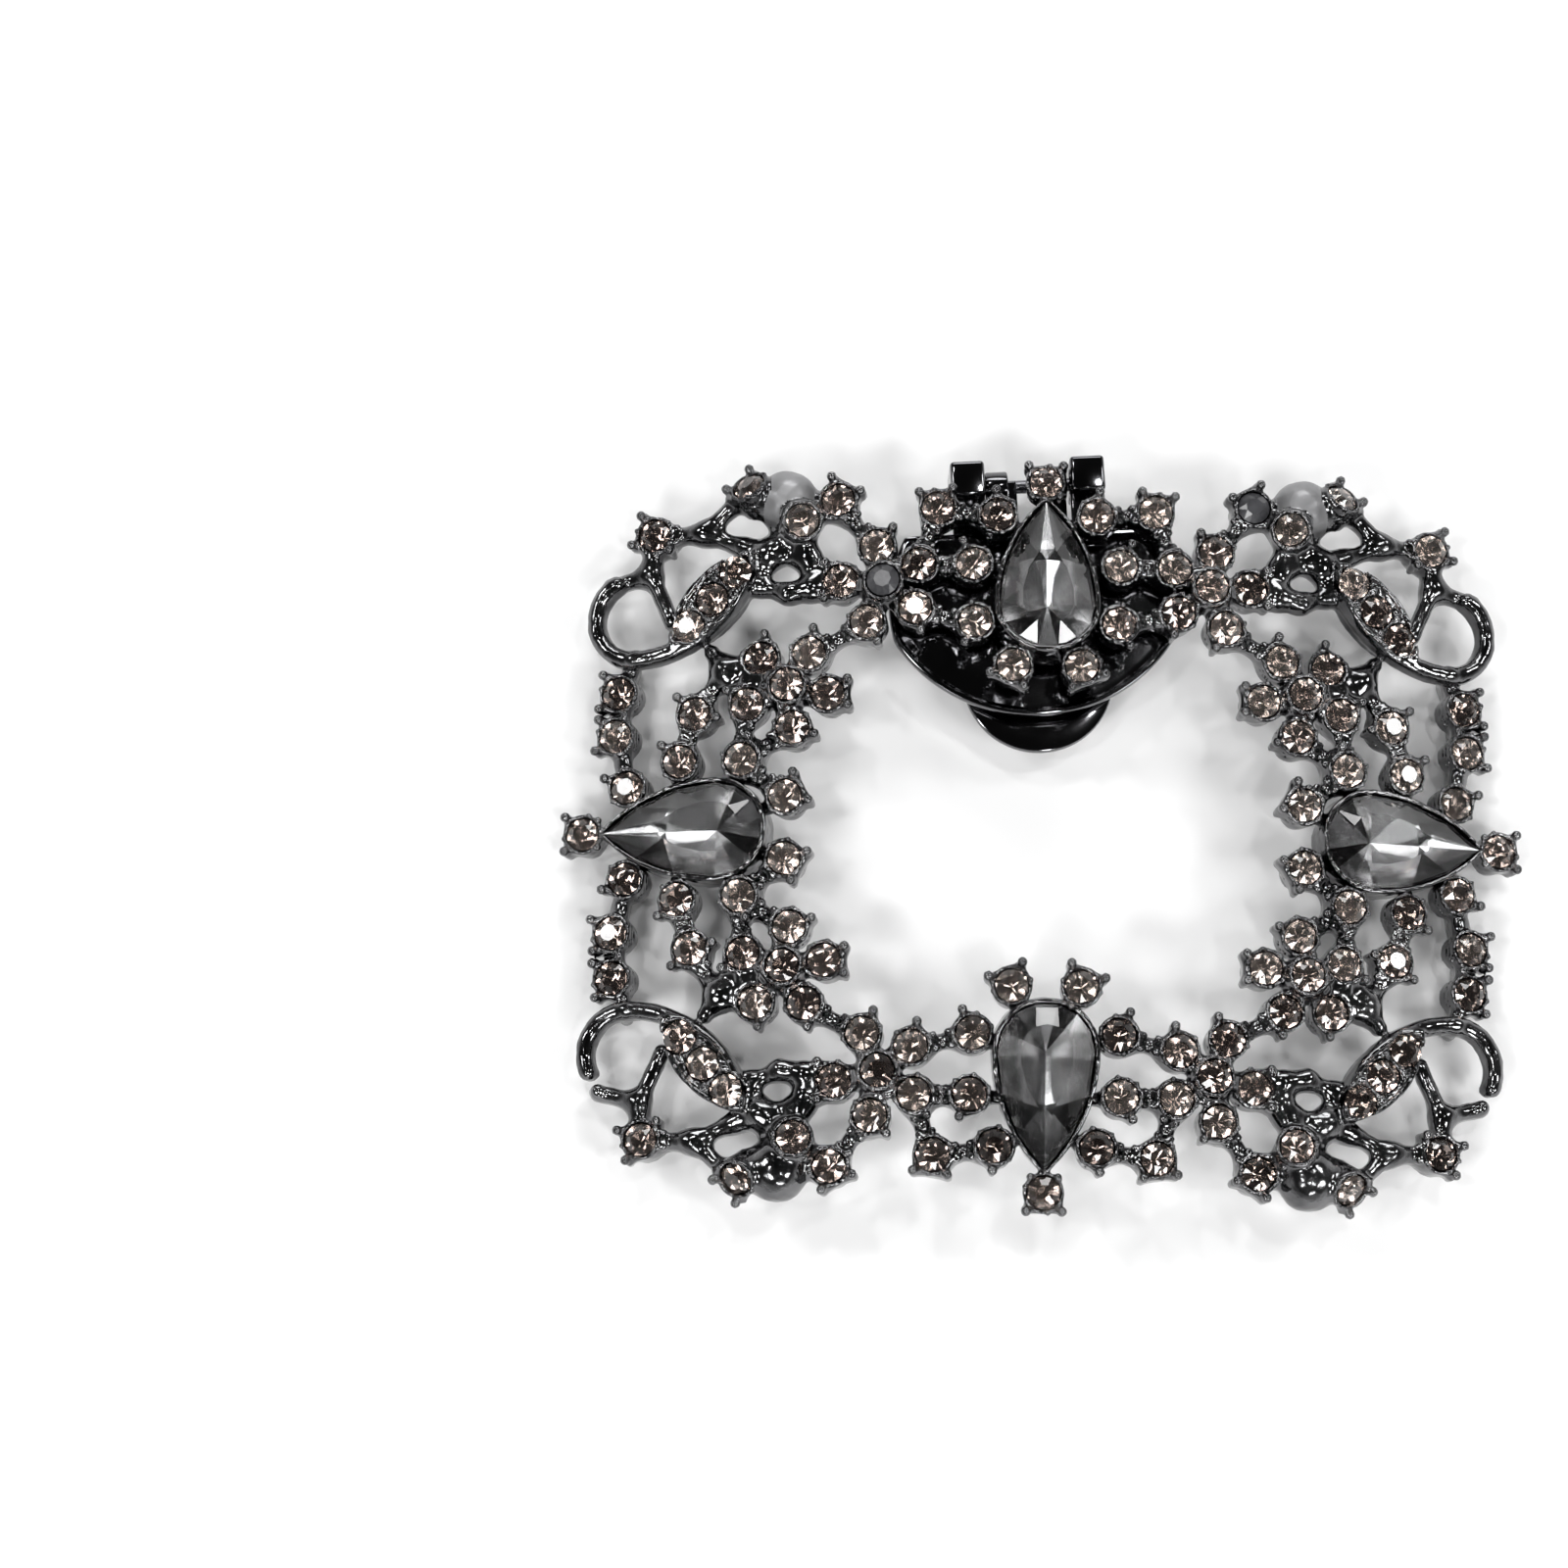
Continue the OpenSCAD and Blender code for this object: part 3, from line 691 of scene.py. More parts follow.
def add_rail(field):
    """The side rail: a wall down to the floor, and struts between the places above it."""
    wall_h = bow_z(HALF_W * 0.9) - STRUT_DROP
    feet = []
    for name, inside in RAIL.items():
        x, y, _ = place(name)
        feet.append(np.array([x - inside * CUP_R, y, wall_h / 2]))
    tops = [at_bow(name, STRUT_Z) for name in RAIL]
    for i in range(len(RAIL) - 1):
        field.stick(feet[i], feet[i + 1], RAIL_W / 2, soft=0.3, tall=wall_h / 2 - RAIL_W / 2)
        field.stick(tops[i], tops[i + 1], STRUT_W / 2, soft=0.4, tall=0.25)


def add_hook(field, hook_turn):
    """The hook and the stem that its bar runs on in."""
    centre = at_bow("hook_low")
    turn = bow_turn(centre[0])
    r = HOOK_W * 0.47
    top = HOOK_W * 0.42
    hook = arc_bar(HOOK_R, hook_turn / 2 - 90, hook_turn / 2, r, -HOOK_T, top)
    stem = arc_bar(STEM_R, -90 - STEM_TURN / 2, STEM_TURN / 2, r, -HOOK_T, top)
    field.add(hook, centre, turn, [14, 14, 6], 0.1)
    field.add(stem, centre, turn, [14, 14, 6], 0.3)


def add_leaf(field):
    """The leaf, its hollow, and the grains between its three stones."""
    centre, turn = leaf_axes()
    reach = [7, 7, 4]
    field.add(leaf_blade(0, -CUP_DEPTH, LEAF_RIM, 0.15), centre, turn, reach, 0.3)
    field.cut(leaf_blade(LEAF_WALL, 0, LEAF_RIM + 2, 0.05), centre, turn, reach, 0.12)
    for i, off in ((-1.5, 0.45), (-0.5, 0.95), (0.5, 0.95), (1.5, 0.45)):
        for side in (-1, 1):
            grain = centre + turn @ np.array([i * LEAF_PITCH, off * side, 0.02])
            field.ball(grain, LEAF_GRAIN_R, soft=0.12)


def add_bulb(field):
    """The smooth bulb, cut flat below, and the ball at the end of the nub."""
    bulb = at_bow("bulb")
    foot = bow_z(bulb[0]) - CUP_DEPTH - bulb[2]

    def shape(x, y, z):
        return np.maximum(np.sqrt(x * x + y * y + z * z) - BULB_R, foot - z)

    field.add(shape, bulb, np.eye(3), [BULB_R + 1] * 3, 0.5)
    field.ball(at_bow("nub", -STRUT_DROP), PRONG_R * 1.5, soft=0.2)


def add_pear_links(field):
    """Short feet from the cups to the walls of the pear settings."""
    for setting, (axis, cups) in PEAR_CUPS.items():
        start = pear_places()[setting][0][axis]
        for cup in cups:
            foot = at_bow(cup, STRUT_Z)
            goal = np.zeros(3)
            goal[axis] = max(start, min(foot[axis], start + PEAR_TIP * 0.6))
            goal[2] = bow_z(goal[0]) + LINK_Z
            field.stick(foot, foot + (goal - foot) * 0.75, STRUT_W / 2, soft=0.4, tall=0.1)


def setting_field(tip_depth):
    """A pear setting in its own axes, with the cup and prongs at its point."""
    side = SETTING_W / 2 + 2
    low = (-side, -SETTING_W / 2 - 1, -BEZEL_DEPTH - 0.8)
    high = (side, TIP_REACH + CUP_R + 2, BEZEL_RIM + 1.6)
    field = Field(low, high, STEP * 0.8)
    still = np.eye(3)
    middle = np.zeros(3)
    tip = np.array([0, TIP_REACH, 0])
    big = [9, 16, 6]
    small = [4, 4, 4]
    wall = pear_prism(SETTING_W, SETTING_TIP, -BEZEL_DEPTH, BEZEL_RIM, 0.1)
    field.add(wall, middle, still, big, 0.1)
    field.add(round_cup(tip_depth), tip, still, small, 0.3)
    cast_wobble(field)
    add_prongs(field, tip, still, TIP_PRONGS, tip_depth * 0.7)
    add_setting_grains(field, tip, still, TIP_PRONGS)
    for x in (-1, 1):
        field.ball((x, TIP_REACH - 1.15, 0.05), GRAIN_R, soft=0.12)
    field.cut(pear_hole(), middle, still, big, 0.04)
    field.cut(seat_hole, tip, still, small, 0.04)
    return field


def clip_place(x, y, z):
    """A point of the clip's own axes, in the buckle's."""
    pear_y = pear_places()["top"][0][1]
    moved = turn_z(CLIP_TURN) @ np.array([x, y - pear_y, z])
    return moved + np.array([CLIP_SHIFT, pear_y, 0])


# Meshes and materials

def piece(name, points, faces, body, materials, smooth=True, kinds=None):
    """A mesh from points in millimetres, riding on a body."""
    mesh = bpy.data.meshes.new(name)
    sizes = np.array([len(f) for f in faces], np.int32)
    starts = np.concatenate([[0], np.cumsum(sizes)[:-1]]).astype(np.int32)
    corners = np.concatenate(faces).astype(np.int32)
    mesh.vertices.add(len(points))
    mesh.vertices.foreach_set("co", (np.asarray(points, float) * MM).astype(np.float32).ravel())
    mesh.loops.add(len(corners))
    mesh.loops.foreach_set("vertex_index", corners)
    mesh.polygons.add(len(sizes))
    mesh.polygons.foreach_set("loop_start", starts)
    mesh.polygons.foreach_set("use_smooth", np.full(len(sizes), smooth))
    for material in materials:
        mesh.materials.append(material)
    if kinds is not None:
        mesh.polygons.foreach_set("material_index", np.asarray(kinds, np.int32))
    mesh.update(calc_edges=True)
    mesh.validate()
    thing = bpy.data.objects.new(name, mesh)
    bpy.context.scene.collection.objects.link(thing)
    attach(thing, body)
    return thing


def mirrored(points, faces, mx, my):
    """The piece in another quarter, with its faces turned over where it is a mirror image."""
    points = np.asarray(points) * np.array([mx, my, 1])
    return points, faces if mx * my > 0 else [f[::-1] for f in faces]


def shader(name, **values):
    material = bpy.data.materials.new(name)
    material.use_nodes = True
    principled = material.node_tree.nodes["Principled BSDF"]
    for socket, value in values.items():
        principled.inputs[socket.replace("_", " ")].default_value = value
    return material, material.node_tree, principled


def noise(tree, scale, detail=3.0):
    """An even mottling, fixed to the piece that it is on."""
    node = tree.nodes.new("ShaderNodeTexNoise")
    node.inputs["Scale"].default_value = scale
    node.inputs["Detail"].default_value = detail
    node.inputs["Roughness"].default_value = 0.5
    coordinates = tree.nodes.new("ShaderNodeTexCoord")
    tree.links.new(coordinates.outputs["Object"], node.inputs["Vector"])
    return node.outputs["Fac"]


def ramp(tree, source, stops, socket):
    """Turns a value into the colours or greys of its stops, for a socket."""
    node = tree.nodes.new("ShaderNodeValToRGB")
    elements = node.color_ramp.elements
    while len(elements) < len(stops):
        elements.new(0.5)
    for element, (position, colour) in zip(elements, stops):
        element.position = position
        element.color = (*colour, 1) if isinstance(colour, tuple) else (colour, colour, colour, 1)
    tree.links.new(source, node.inputs["Fac"])
    tree.links.new(node.outputs["Color"], socket)


def add_bump(tree, principled, layers):
    """Bumps one on another: each layer is a noise scale, a strength and a depth in metres."""
    last = None
    for scale, strength, depth in layers:
        bump = tree.nodes.new("ShaderNodeBump")
        bump.inputs["Strength"].default_value = strength
        bump.inputs["Distance"].default_value = depth
        tree.links.new(noise(tree, scale), bump.inputs["Height"])
        if last:
            tree.links.new(last.outputs["Normal"], bump.inputs["Normal"])
        last = bump
    tree.links.new(last.outputs["Normal"], principled.inputs["Normal"])


def plating(name, colour, roughness, bumps):
    """A plated metal: noise scale, detail and stops of its colour, and of its roughness."""
    material, tree, principled = shader(name, Metallic=1.0)
    for socket, (scale, detail, stops) in (("Base Color", colour), ("Roughness", roughness)):
        ramp(tree, noise(tree, scale, detail), stops, principled.inputs[socket])
    add_bump(tree, principled, bumps)
    return material


def gunmetal():
    return plating(
        "gunmetal_plating",
        (260, 4, ((0.3, (0.075, 0.075, 0.078)), (0.7, (0.20, 0.20, 0.204)))),
        (420, 3, ((0.3, 0.07), (0.75, 0.2))),
        ((480, 0.5, 0.00016), (1300, 0.45, 0.00008)),
    )


def painted_reflection_plating():
    """The two bulbs beside the clip, their plating rougher, and paler as a painted reflection of the
    bright light behind them.
    """
    return plating(
        "painted_reflection_plating",
        (350, 4, ((0.35, (0.24, 0.24, 0.245)), (0.7, (0.31, 0.31, 0.315)))),
        (500, 3, ((0.3, 0.42), (0.75, 0.55))),
        ((700, 0.3, 0.00008),),
    )


def black_plating():
    return plating(
        "black_plating",
        (90, 2, ((0.3, (0.085, 0.085, 0.09)), (0.7, (0.13, 0.13, 0.135)))),
        (300, 3, ((0.3, 0.05), (0.7, 0.12))),
        ((220, 0.12, 0.0001),),
    )


def pin_steel():
    material, tree, principled = shader("pin_steel", Metallic=1.0)
    principled.inputs["Base Color"].default_value = (0.16, 0.16, 0.17, 1)
    ramp(tree, noise(tree, 900), ((0.3, 0.2), (0.7, 0.34)), principled.inputs["Roughness"])
    add_bump(tree, principled, ((1500, 0.15, 0.00003),))
    return material


def glass(name, colour, ior, haze):
    material, tree, principled = shader(name, Roughness=0.01, IOR=ior)
    principled.inputs["Transmission Weight"].default_value = 1.0
    light = tuple(min(1.0, c * (1 + haze)) for c in colour)
    ramp(tree, noise(tree, 300, 2), ((0.35, colour), (0.65, light)), principled.inputs["Base Color"])
    return material


def dull_stone():
    """A stone that has lost its foil: dark and without sparkle."""
    material, tree, principled = shader("dull_stone", Roughness=0.22)
    stops = ((0.3, (0.03, 0.03, 0.033)), (0.7, (0.06, 0.06, 0.065)))
    ramp(tree, noise(tree, 700), stops, principled.inputs["Base Color"])
    return material


def foil(name, colour, rough):
    """The bright backing of a stone, seen through its glass."""
    material, tree, principled = shader(name, Metallic=1.0, Roughness=rough)
    shade = tuple(c * 0.8 for c in colour)
    ramp(tree, noise(tree, 500, 2), ((0.3, shade), (0.7, colour)), principled.inputs["Base Color"])
    return material


# Stones

def ring(radius, count, z):
    """Points round a circle about Z."""
    angles = [math.radians(360 / count * i) for i in range(count)]
    return [(radius * math.cos(a), radius * math.sin(a), z) for a in angles]


def round_stone():
    """A small stone: table, eight kites and eight triangles above its thin girdle, eight long
    facets and eight small ones below. Its kinds are 0 above and 1 below."""
    thin = 0.04
    points = ring(STONE_TABLE / 2, 8, STONE_CROWN)
    points += ring(STONE_R, 16, thin) + ring(STONE_R, 16, -thin)
    points.append((0, 0, -STONE_DEPTH))
    faces = [list(range(8))]
    for i in range(8):
        a, b, c = (8 + (2 * i + k) % 16 for k in (-1, 0, 1))
        faces += [[i, a, b], [i, b, c], [i, c, (i + 1) % 8]]
    for i in range(16):
        faces.append([8 + i, 24 + i, 24 + (i + 1) % 16, 8 + (i + 1) % 16])
    crown_faces = len(faces)
    for i in range(8):
        a, b, c = (24 + (2 * i + k) % 16 for k in (0, 1, 2))
        faces += [[a, 40, c], [a, c, b]]
    kinds = [0] * crown_faces + [1] * (len(faces) - crown_faces)
    return np.array(points), faces, kinds


def pear_outline(w, tip, count=7):
    """Points of a pear outline, round end first, going round anticlockwise from its left."""
    big_r = (w * w / 4 + tip * tip) / w
    turn = math.asin(tip / big_r)
    low_angles = np.linspace(0, math.pi, count + 1)
    side_angles = np.linspace(0, turn, 4)[1:-1]
    low = [(-w / 2 * math.cos(a), -w / 2 * math.sin(a)) for a in low_angles]
    right = [(w / 2 - big_r + big_r * math.cos(a), big_r * math.sin(a)) for a in side_angles]
    left = [(-x, y) for x, y in reversed(right)]
    return low + right + [(0, tip)] + left


def pear_stone():
    """A pear stone: table and crown facets above, and below facets that meet in a keel of two
    points. Its kinds are 0 above and 1 to 3, the foil's tones of painted highlight and shade, below."""
    girdle = np.array(pear_outline(PEAR_W, PEAR_TIP))
    n = len(girdle)
    scale = PEAR_TABLE / PEAR_W
    shift = np.array([0, -0.1])
    half = (girdle + np.roll(girdle, -1, 0)) / 2
    table = half * scale * 1.04 + shift
    thin = 0.05
    points = [(x, y, PEAR_CROWN) for x, y in table]
    points += [(x, y, thin) for x, y in girdle]
    points += [(x, y, -thin) for x, y in girdle]
    points += [(0, 0.0, -PEAR_DEPTH), (0, PEAR_TIP * 0.45, -PEAR_DEPTH * 0.8)]
    faces = [list(range(n))]
    for i in range(n):
        j = (i + 1) % n
        faces += [[i, n + i, n + j], [i, n + j, j]]
        faces.append([n + i, 2 * n + i, 2 * n + j, n + j])
    # Painted light: each facet below the girdle takes a bright, mid or dark foil.
    kinds = [0] * len(faces) + [1 + tone for tone in FOIL_PAINTED_LIGHT_FACETS]
    keel = 3 * n
    high = girdle[:, 1] > KEEL_SPLIT
    for i in range(n):
        j = (i + 1) % n
        end = keel + 1 if high[i] and high[j] else keel
        faces.append([2 * n + i, end, 2 * n + j])
    for i in range(n):
        if high[i] and not (high[i - 1] and high[(i + 1) % n]):
            side = [keel, keel + 1, 2 * n + i]
            faces.append(side if girdle[i][0] < 0 else side[::-1])
    return np.array(points), faces, kinds


def join(parts):
    """Several (points, faces, kinds) as one."""
    points = []
    faces = []
    kinds = []
    base = 0
    for part_points, part_faces, part_kinds in parts:
        points.append(part_points)
        faces += [[base + i for i in f] for f in part_faces]
        kinds += part_kinds
        base += len(part_points)
    return np.concatenate(points), faces, kinds


def build_small_stones():
    stone_points, stone_faces, stone_kinds = round_stone()
    rng = np.random.default_rng(7)
    parts = []
    for quarter, (mx, my) in QUARTERS.items():
        for name, centre, turn in quarter_seats() + leaf_seats():
            spin = turn_z(rng.uniform(0, 45))
            lean = turn_x(rng.normal(0, STONE_LEAN)) @ turn_y(rng.normal(0, STONE_LEAN))
            points = stone_points @ (turn @ lean @ spin).T + centre
            points, faces = mirrored(points, stone_faces, mx, my)
            dull = (quarter, name) in DULL_STONES
            tint = len(STONE_TINTS) if dull else rng.integers(len(STONE_TINTS))
            parts.append((points, faces, [k + 2 * tint for k in stone_kinds]))
    for centre, turn, (mx, my) in pear_places().values():
        spin = turn_z(rng.uniform(0, 45))
        points = (stone_points @ spin.T + np.array([0, TIP_REACH, 0])) @ turn.T + centre
        points, faces = mirrored(points, stone_faces, mx, my)
        parts.append((points, faces, stone_kinds))
    points, faces, kinds = join(parts)
    materials = []
    for i, (tint, rough) in enumerate(STONE_TINTS):
        materials.append(glass("smoky_glass_%d" % i, tint, 1.58, 0.08))
        materials.append(foil("stone_foil_%d" % i, STONE_FOIL, rough))
    materials += [dull_stone(), dull_stone()]
    stones = piece("round_stones", points, faces, BODY, materials,
                   smooth=False, kinds=kinds)
    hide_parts("small_stones")


def build_pear_stones():
    materials = [glass("grey_glass", PEAR_GLASS, 1.6, 0.1)]
    # Painted highlight and shade: bright, mid and dark copies of one foil for the facets below the
    # girdle.
    for i, tone in enumerate(FOIL_PAINTED_LIGHT_TONES):
        materials.append(foil("pear_foil_painted_light_%d" % i, (tone, tone, tone), 0.2))
    for name, (centre, turn, (mx, my)) in pear_places().items():
        points, faces, kinds = pear_stone()
        points, faces = mirrored(points @ turn.T + centre, faces, mx, my)
        stone = piece("pear_" + name, points, faces, BODY, materials,
                      smooth=False, kinds=kinds)
        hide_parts("pear_stone_" + name)


def build_casting():
    metal = gunmetal()
    painted_reflection = painted_reflection_plating()
    surfaces = {1: quarter_field(TOP_HOOK_TURN).surface(), -1: quarter_field(HOOK_TURN).surface()}
    for name, (mx, my) in QUARTERS.items():
        points, faces = surfaces[my]
        # Painted reflection: the bulb tops of the two upper quarters take the paler plating, standing in
        # for the bright light behind them.
        middles = points[faces].mean(1) - at_bow("bulb")
        painted_reflection_faces = (np.linalg.norm(middles, axis=1) < BULB_R + 0.05) & (middles[:, 2] > 0.2)
        points, faces = mirrored(points, faces, mx, my)
        side = piece("casting_" + name, points, faces, BODY, (metal, painted_reflection),
                     kinds=painted_reflection_faces if my > 0 else None)
        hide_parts("frame")
    for name, (centre, turn, (mx, my)) in pear_places().items():
        field = setting_field(TIP_CUP_DEPTH if name in ("top", "bottom") else CUP_DEPTH)
        if name == "top":
            cut_for_plate(field, centre, turn)
        points, faces = field.surface()
        points, faces = mirrored(points @ turn.T + centre, faces, mx, my)
        setting = piece("setting_" + name, points, faces, BODY, (metal,))
        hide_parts("frame")


def cut_for_plate(field, centre, turn):
    """Takes off what lies below the clip plate's upper face."""
    grow = 6 * PLATE_AIR

    def shape(x, y, z):
        world = [sum(turn[i][j] * (x, y, z)[j] for j in range(3)) + centre[i] for i in range(3)]
        a = math.radians(CLIP_TURN)
        dx = world[0] - CLIP_SHIFT
        dy = world[1] - centre[1]
        u = dx * math.cos(a) + dy * math.sin(a)
        v = dy * math.cos(a) - dx * math.sin(a) + centre[1]
        outline = np.maximum(np.sqrt(u * u + (v - PLATE_Y) ** 2) - PLATE_R,
                             np.sqrt(u * u + (v - PLATE_SIDE_Y) ** 2) - PLATE_SIDE_R)
        outline = np.maximum(outline, v - PLATE_EDGE) - grow
        return np.maximum(outline, world[2] - PLATE_Z - PLATE_AIR)

    field.cut(shape, (0, 0, 0), np.eye(3), [20, 20, 20], 0.02)


# The clip

def star_outline(limits, middle, count=144):
    """Outline of a convex shape: the nearest of its limits in each direction from a middle."""
    middle = np.array(middle)
    outline = []
    for i in range(count):
        a = 2 * math.pi * i / count
        direction = np.array([math.cos(a), math.sin(a)])
        reach = min(limit(middle, direction) for limit in limits)
        outline.append(middle + direction * reach)
    return np.array(outline)


def circle_limit(centre, radius):
    """How far a circle lets a shape reach."""
    def reach(start, direction):
        off = start - np.array(centre)
        b = off @ direction
        return -b + math.sqrt(b * b - off @ off + radius * radius)
    return reach


def line_limit(normal, distance):
    """How far a line, by its normal and distance, lets a shape reach."""
    def reach(start, direction):
        slope = direction @ np.array(normal)
        return (distance - start @ np.array(normal)) / slope if slope > 1e-6 else NO_LIMIT
    return reach


def end_limit(radius):
    """The round lower end of the jaw about its middle: a limit for directions that look down."""
    def reach(start, direction):
        return radius if direction[1] < 0 else NO_LIMIT
    return reach


def stacked(rings):
    """A closed solid from outlines laid on each other, bottom first."""
    count = len(rings[0])
    points = np.concatenate(rings)
    faces = [list(range(count))[::-1]]
    for low in range(0, len(points) - count, count):
        for i in range(count):
            j = (i + 1) % count
            faces.append([low + i, low + j, low + count + j, low + count + i])
    faces.append(list(range(len(points) - count, len(points))))
    return points, faces


def layered(profile, limits_at, middle):
    """A solid from pairs of inset and height, and what its limits are at an inset."""
    rings = []
    for inset, z in profile:
        outline = star_outline(limits_at(inset), middle)
        rings.append(np.column_stack([outline, np.full(len(outline), z)]))
    return stacked(rings)


def soft_box(low, high, edge, segments=3):
    """A box with rounded edges."""
    shape = bmesh.new()
    bmesh.ops.create_cube(shape, size=1)
    size = np.array(high) - np.array(low)
    for v in shape.verts:
        v.co = Vector((np.array(v.co) + 0.5) * size + np.array(low))
    bmesh.ops.bevel(shape, geom=list(shape.edges), offset=edge, segments=segments,
                    profile=0.5, affect="EDGES")
    shape.verts.ensure_lookup_table()
    points = np.array([v.co for v in shape.verts])
    faces = [[v.index for v in f.verts] for f in shape.faces]
    shape.free()
    return points, faces


def barrel(x0, x1, y, z, r, edge, count=40):
    """A cylinder along X with rounded rims."""
    slight = edge * 0.3
    profile = ((x0, edge), (x0 + slight, slight), (x0 + edge, 0),
               (x1 - edge, 0), (x1 - slight, slight), (x1, edge))
    angles = np.linspace(0, 2 * math.pi, count, endpoint=False)
    rings = []
    for x, inset in profile:
        radius = r - inset
        rings.append(np.array([(x, y + radius * math.cos(a), z + radius * math.sin(a)) for a in angles]))
    return stacked(rings)


def in_clip(parts):
    """Parts of the clip as one mesh, in the buckle's axes."""
    points, faces, _ = join([(p, f, [0] * len(f)) for p, f in parts])
    return np.array([clip_place(*p) for p in points]), faces


def plate_limits(inset):
    return (
        circle_limit((0, PLATE_Y), PLATE_R - inset),
        circle_limit((0, PLATE_SIDE_Y), PLATE_SIDE_R - inset),
        line_limit((0, 1), PLATE_EDGE - inset),
    )


def plate_parts():
    """The plate with its rounded rim, and the two hinge ears, each with a neck to the plate."""
    top = PLATE_Z
    low = PLATE_Z - PLATE_T
    profile = (
        (0.25, low), (0.06, low + 0.08), (0, low + 0.25),
        (0, top - 0.22), (0.07, top - 0.06), (0.2, top), (0.38, top),
        (0.48, top - 0.07), (0.62, top - 0.09), (1.0, top - 0.06), (4.0, top - 0.02),
    )
    parts = [layered(profile, plate_limits, (0, HALF_H * 0.65))]
    ear_y = HINGE_Y - EAR_L / 2
    for left in (-EARS_SPAN / 2, EAR_IN):
        right = left + EAR_W
        parts.append(soft_box((left, PLATE_EDGE - 1.5, low), (right, ear_y + 0.4, top), 0.12))
        parts.append(soft_box((left, ear_y, HINGE_Z - KNUCKLE_R),
                              (right, HINGE_Y + EAR_L / 2, PLATE_Z + EAR_RISE), 0.28, 4))
    return parts


def jaw_limits(inset):
    radius = JAW_W / 2 - inset
    return (
        line_limit((1, 0), radius),
        line_limit((-1, 0), radius),
        line_limit((0, 1), JAW_NECK_Y - inset),
        end_limit(radius),
    )


def jaw_parts():
    """The tongue with its round end, the two knuckles on their necks, and the tab."""
    low = JAW_Z
    top = JAW_Z + JAW_T
    profile = (
        (0.2, low), (0.04, low + 0.1), (0, low + 0.25),
        (0, top - 0.2), (0.06, top - 0.05), (0.2, top), (1.5, top),
    )
    parts = [layered(profile, jaw_limits, (0, HINGE_Y - JAW_L + JAW_W / 2))]
    neck = (JAW_NECK_Y - 1, low + 0.02)
    for left in (-KNUCKLE_IN - KNUCKLE_W, KNUCKLE_IN):
        right = left + KNUCKLE_W
        parts.append(soft_box((left, *neck), (right, HINGE_Y, top + 0.15), 0.12))
        parts.append(barrel(left, right, HINGE_Y, HINGE_Z, KNUCKLE_R, 0.15))
    parts.append(soft_box((-TAB_IN - TAB_W, *neck), (-TAB_IN, HINGE_Y + 0.2, low + TAB_H), 0.15))
    return parts


def build_clip():
    black = black_plating()
    points, faces = in_clip(plate_parts())
    plate = piece("plate_and_ears", points, faces, BODY, (black,))
    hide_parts("clip_plate")
    points, faces = in_clip(jaw_parts())
    jaw = piece("jaw_tongue", points, faces, JAW_BODY, (black,))
    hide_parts("clip_jaw")
    for thing in (plate, jaw):
        thing.data.set_sharp_from_angle(angle=math.radians(38))
    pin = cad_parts["hinge_pin"]
    pin.data.materials.clear()
    pin.data.materials.append(pin_steel())


# Stage, light and camera

def build_floor():
    half = FLOOR_HALF * MM
    mesh = bpy.data.meshes.new("floor")
    corners = ((-half, -half, 0), (half, -half, 0), (half, half, 0), (-half, half, 0))
    mesh.from_pydata(corners, [], [(0, 1, 2, 3)])
    material, tree, principled = shader("pale_floor", Roughness=0.6)
    stops = ((0.3, (0.93, 0.93, 0.93)), (0.7, (0.95, 0.95, 0.95)))
    ramp(tree, noise(tree, 6), stops, principled.inputs["Base Color"])
    mesh.materials.append(material)
    floor = bpy.data.objects.new("floor", mesh)
    bpy.context.scene.collection.objects.link(floor)


def looking_back(azimuth, elevation):
    """The direction from the buckle to a camera or lamp; azimuth 0 is in front of it."""
    return Vector((math.sin(azimuth) * math.cos(elevation),
                   -math.cos(azimuth) * math.cos(elevation),
                   math.sin(elevation)))


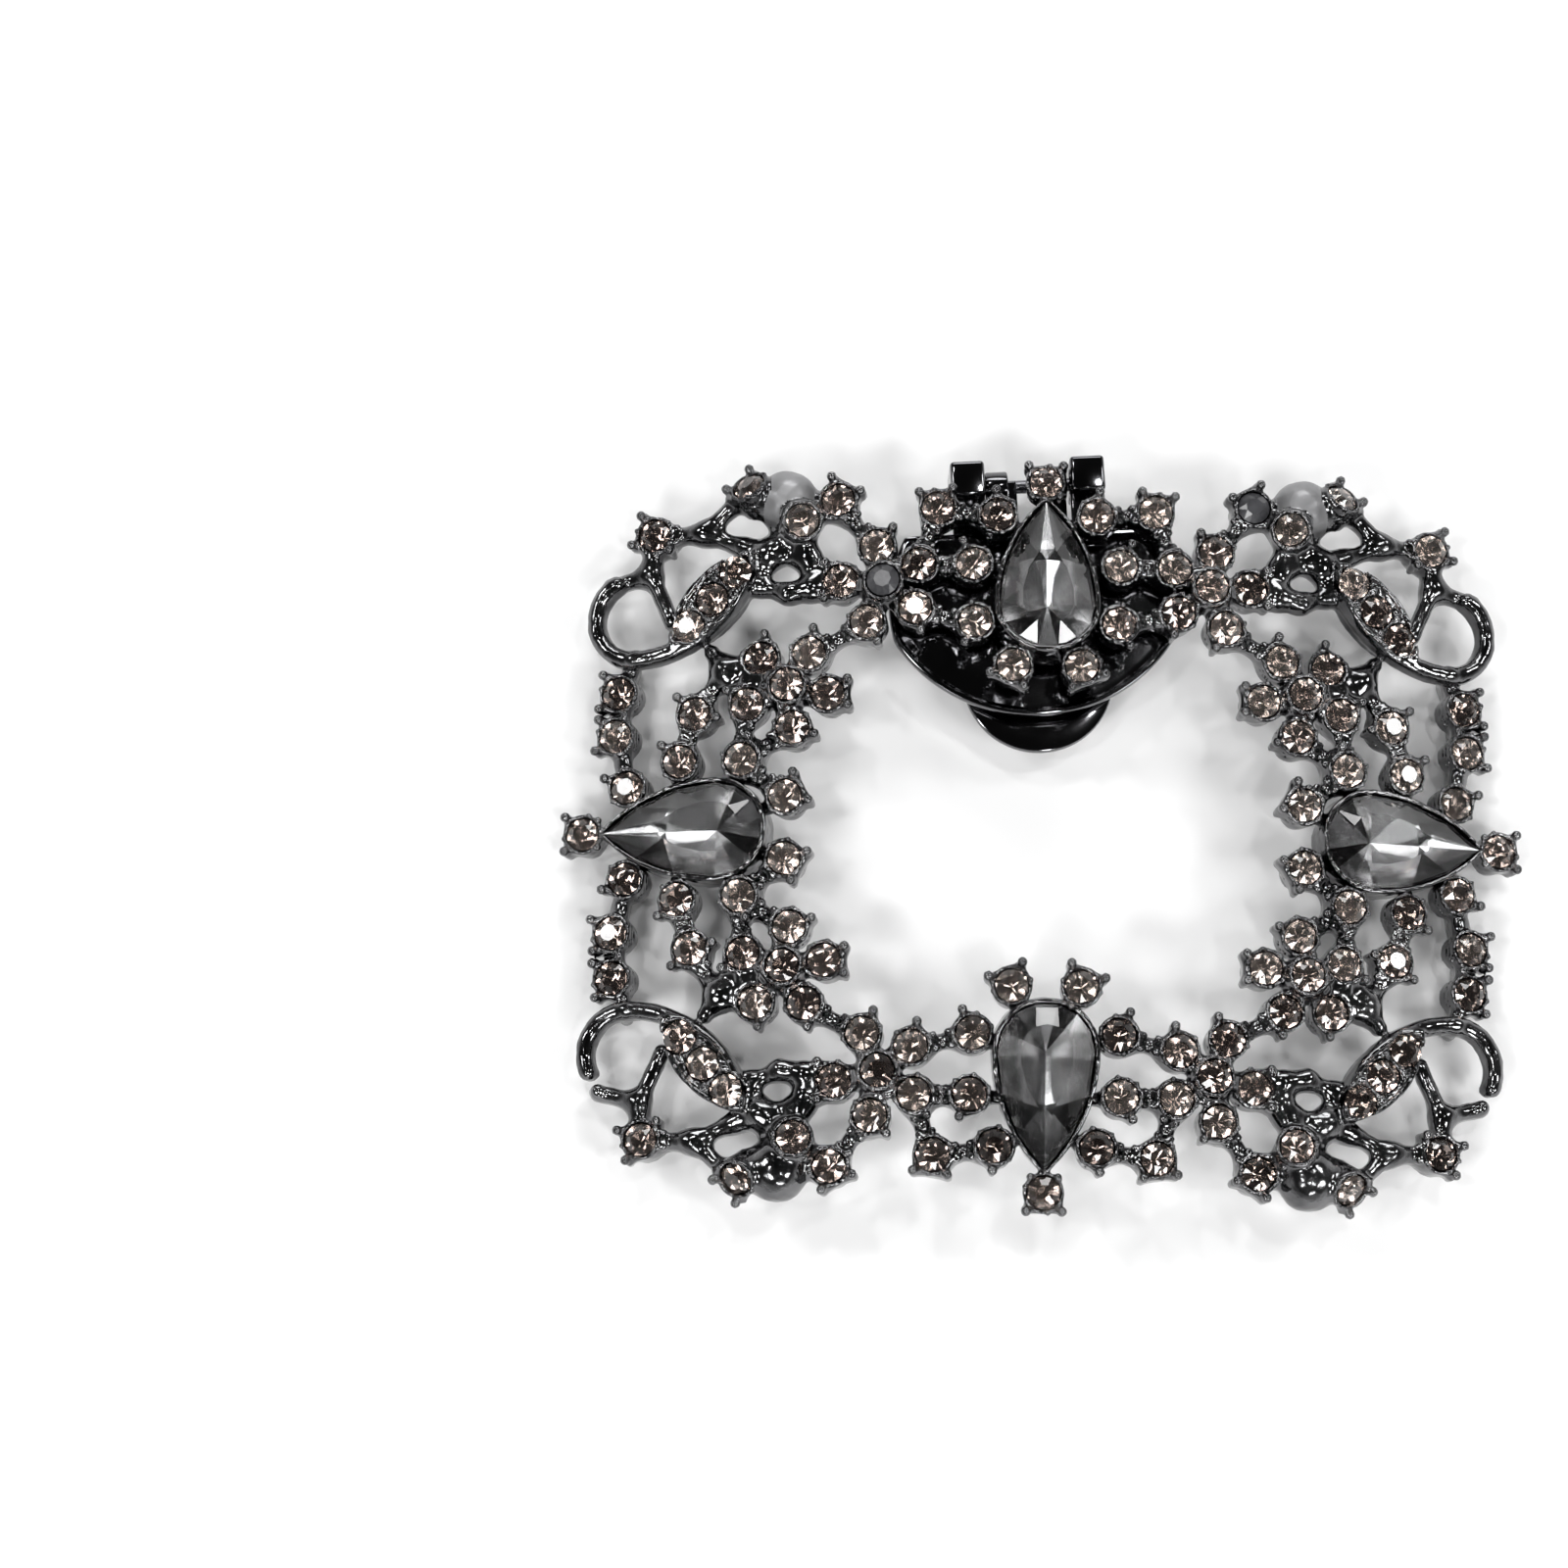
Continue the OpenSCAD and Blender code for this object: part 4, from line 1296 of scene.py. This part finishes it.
def area_light(name, azimuth, elevation, size, radiance, long):
    """A lamp panel that looks at the buckle."""
    back = looking_back(math.radians(azimuth), math.radians(elevation))
    data = bpy.data.lights.new(name, "AREA")
    data.shape = "ELLIPSE"
    data.size = size * long * MM
    data.size_y = size * MM
    data.energy = radiance * math.pi * math.pi / 4 * data.size * data.size_y
    light = bpy.data.objects.new(name, data)
    light.location = back * LAMP_DISTANCE * MM
    light.rotation_euler = back.to_track_quat("Z", "Y").to_euler()
    bpy.context.scene.collection.objects.link(light)


def build_light():
    """A dark ceiling over pale walls, with small soft lights between them."""
    world = bpy.data.worlds.new("studio")
    bpy.context.scene.world = world
    world.use_nodes = True
    tree = world.node_tree
    sky = tree.nodes["Background"]
    coordinates = tree.nodes.new("ShaderNodeTexCoord")
    split = tree.nodes.new("ShaderNodeSeparateXYZ")
    tree.links.new(coordinates.outputs["Generated"], split.inputs["Vector"])
    ramp(tree, split.outputs["Z"], ROOM, sky.inputs["Color"])
    sky.inputs["Strength"].default_value = ROOM_STRENGTH
    for lamp in LAMPS:
        area_light(*lamp)
    bpy.context.scene.view_settings.view_transform = "Standard"


def build_camera():
    a, e, roll = (math.radians(v) for v in (VIEW_AZIMUTH, VIEW_ELEVATION, VIEW_ROLL))
    back = looking_back(a, e)
    level = Vector((math.cos(a), math.sin(a), 0))
    upward = back.cross(level)
    right = level * math.cos(roll) + upward * math.sin(roll)
    up = upward * math.cos(roll) - level * math.sin(roll)
    aside = right * -VIEW_OFFSET[0] + up * -VIEW_OFFSET[1]
    eye = aside + back * VIEW_DISTANCE + Vector((0, 0, CROWN_H))
    data = bpy.data.cameras.new("camera")
    data.lens = VIEW_LENS
    data.sensor_width = 36
    data.clip_start = 0.01
    camera = bpy.data.objects.new("camera", data)
    axes = Matrix((right, up, back)).transposed().to_4x4()
    camera.matrix_world = Matrix.Translation(eye * MM) @ axes
    bpy.context.scene.collection.objects.link(camera)
    bpy.context.scene.camera = camera


build_casting()
build_small_stones()
build_pear_stones()
build_clip()
build_floor()
build_light()
build_camera()
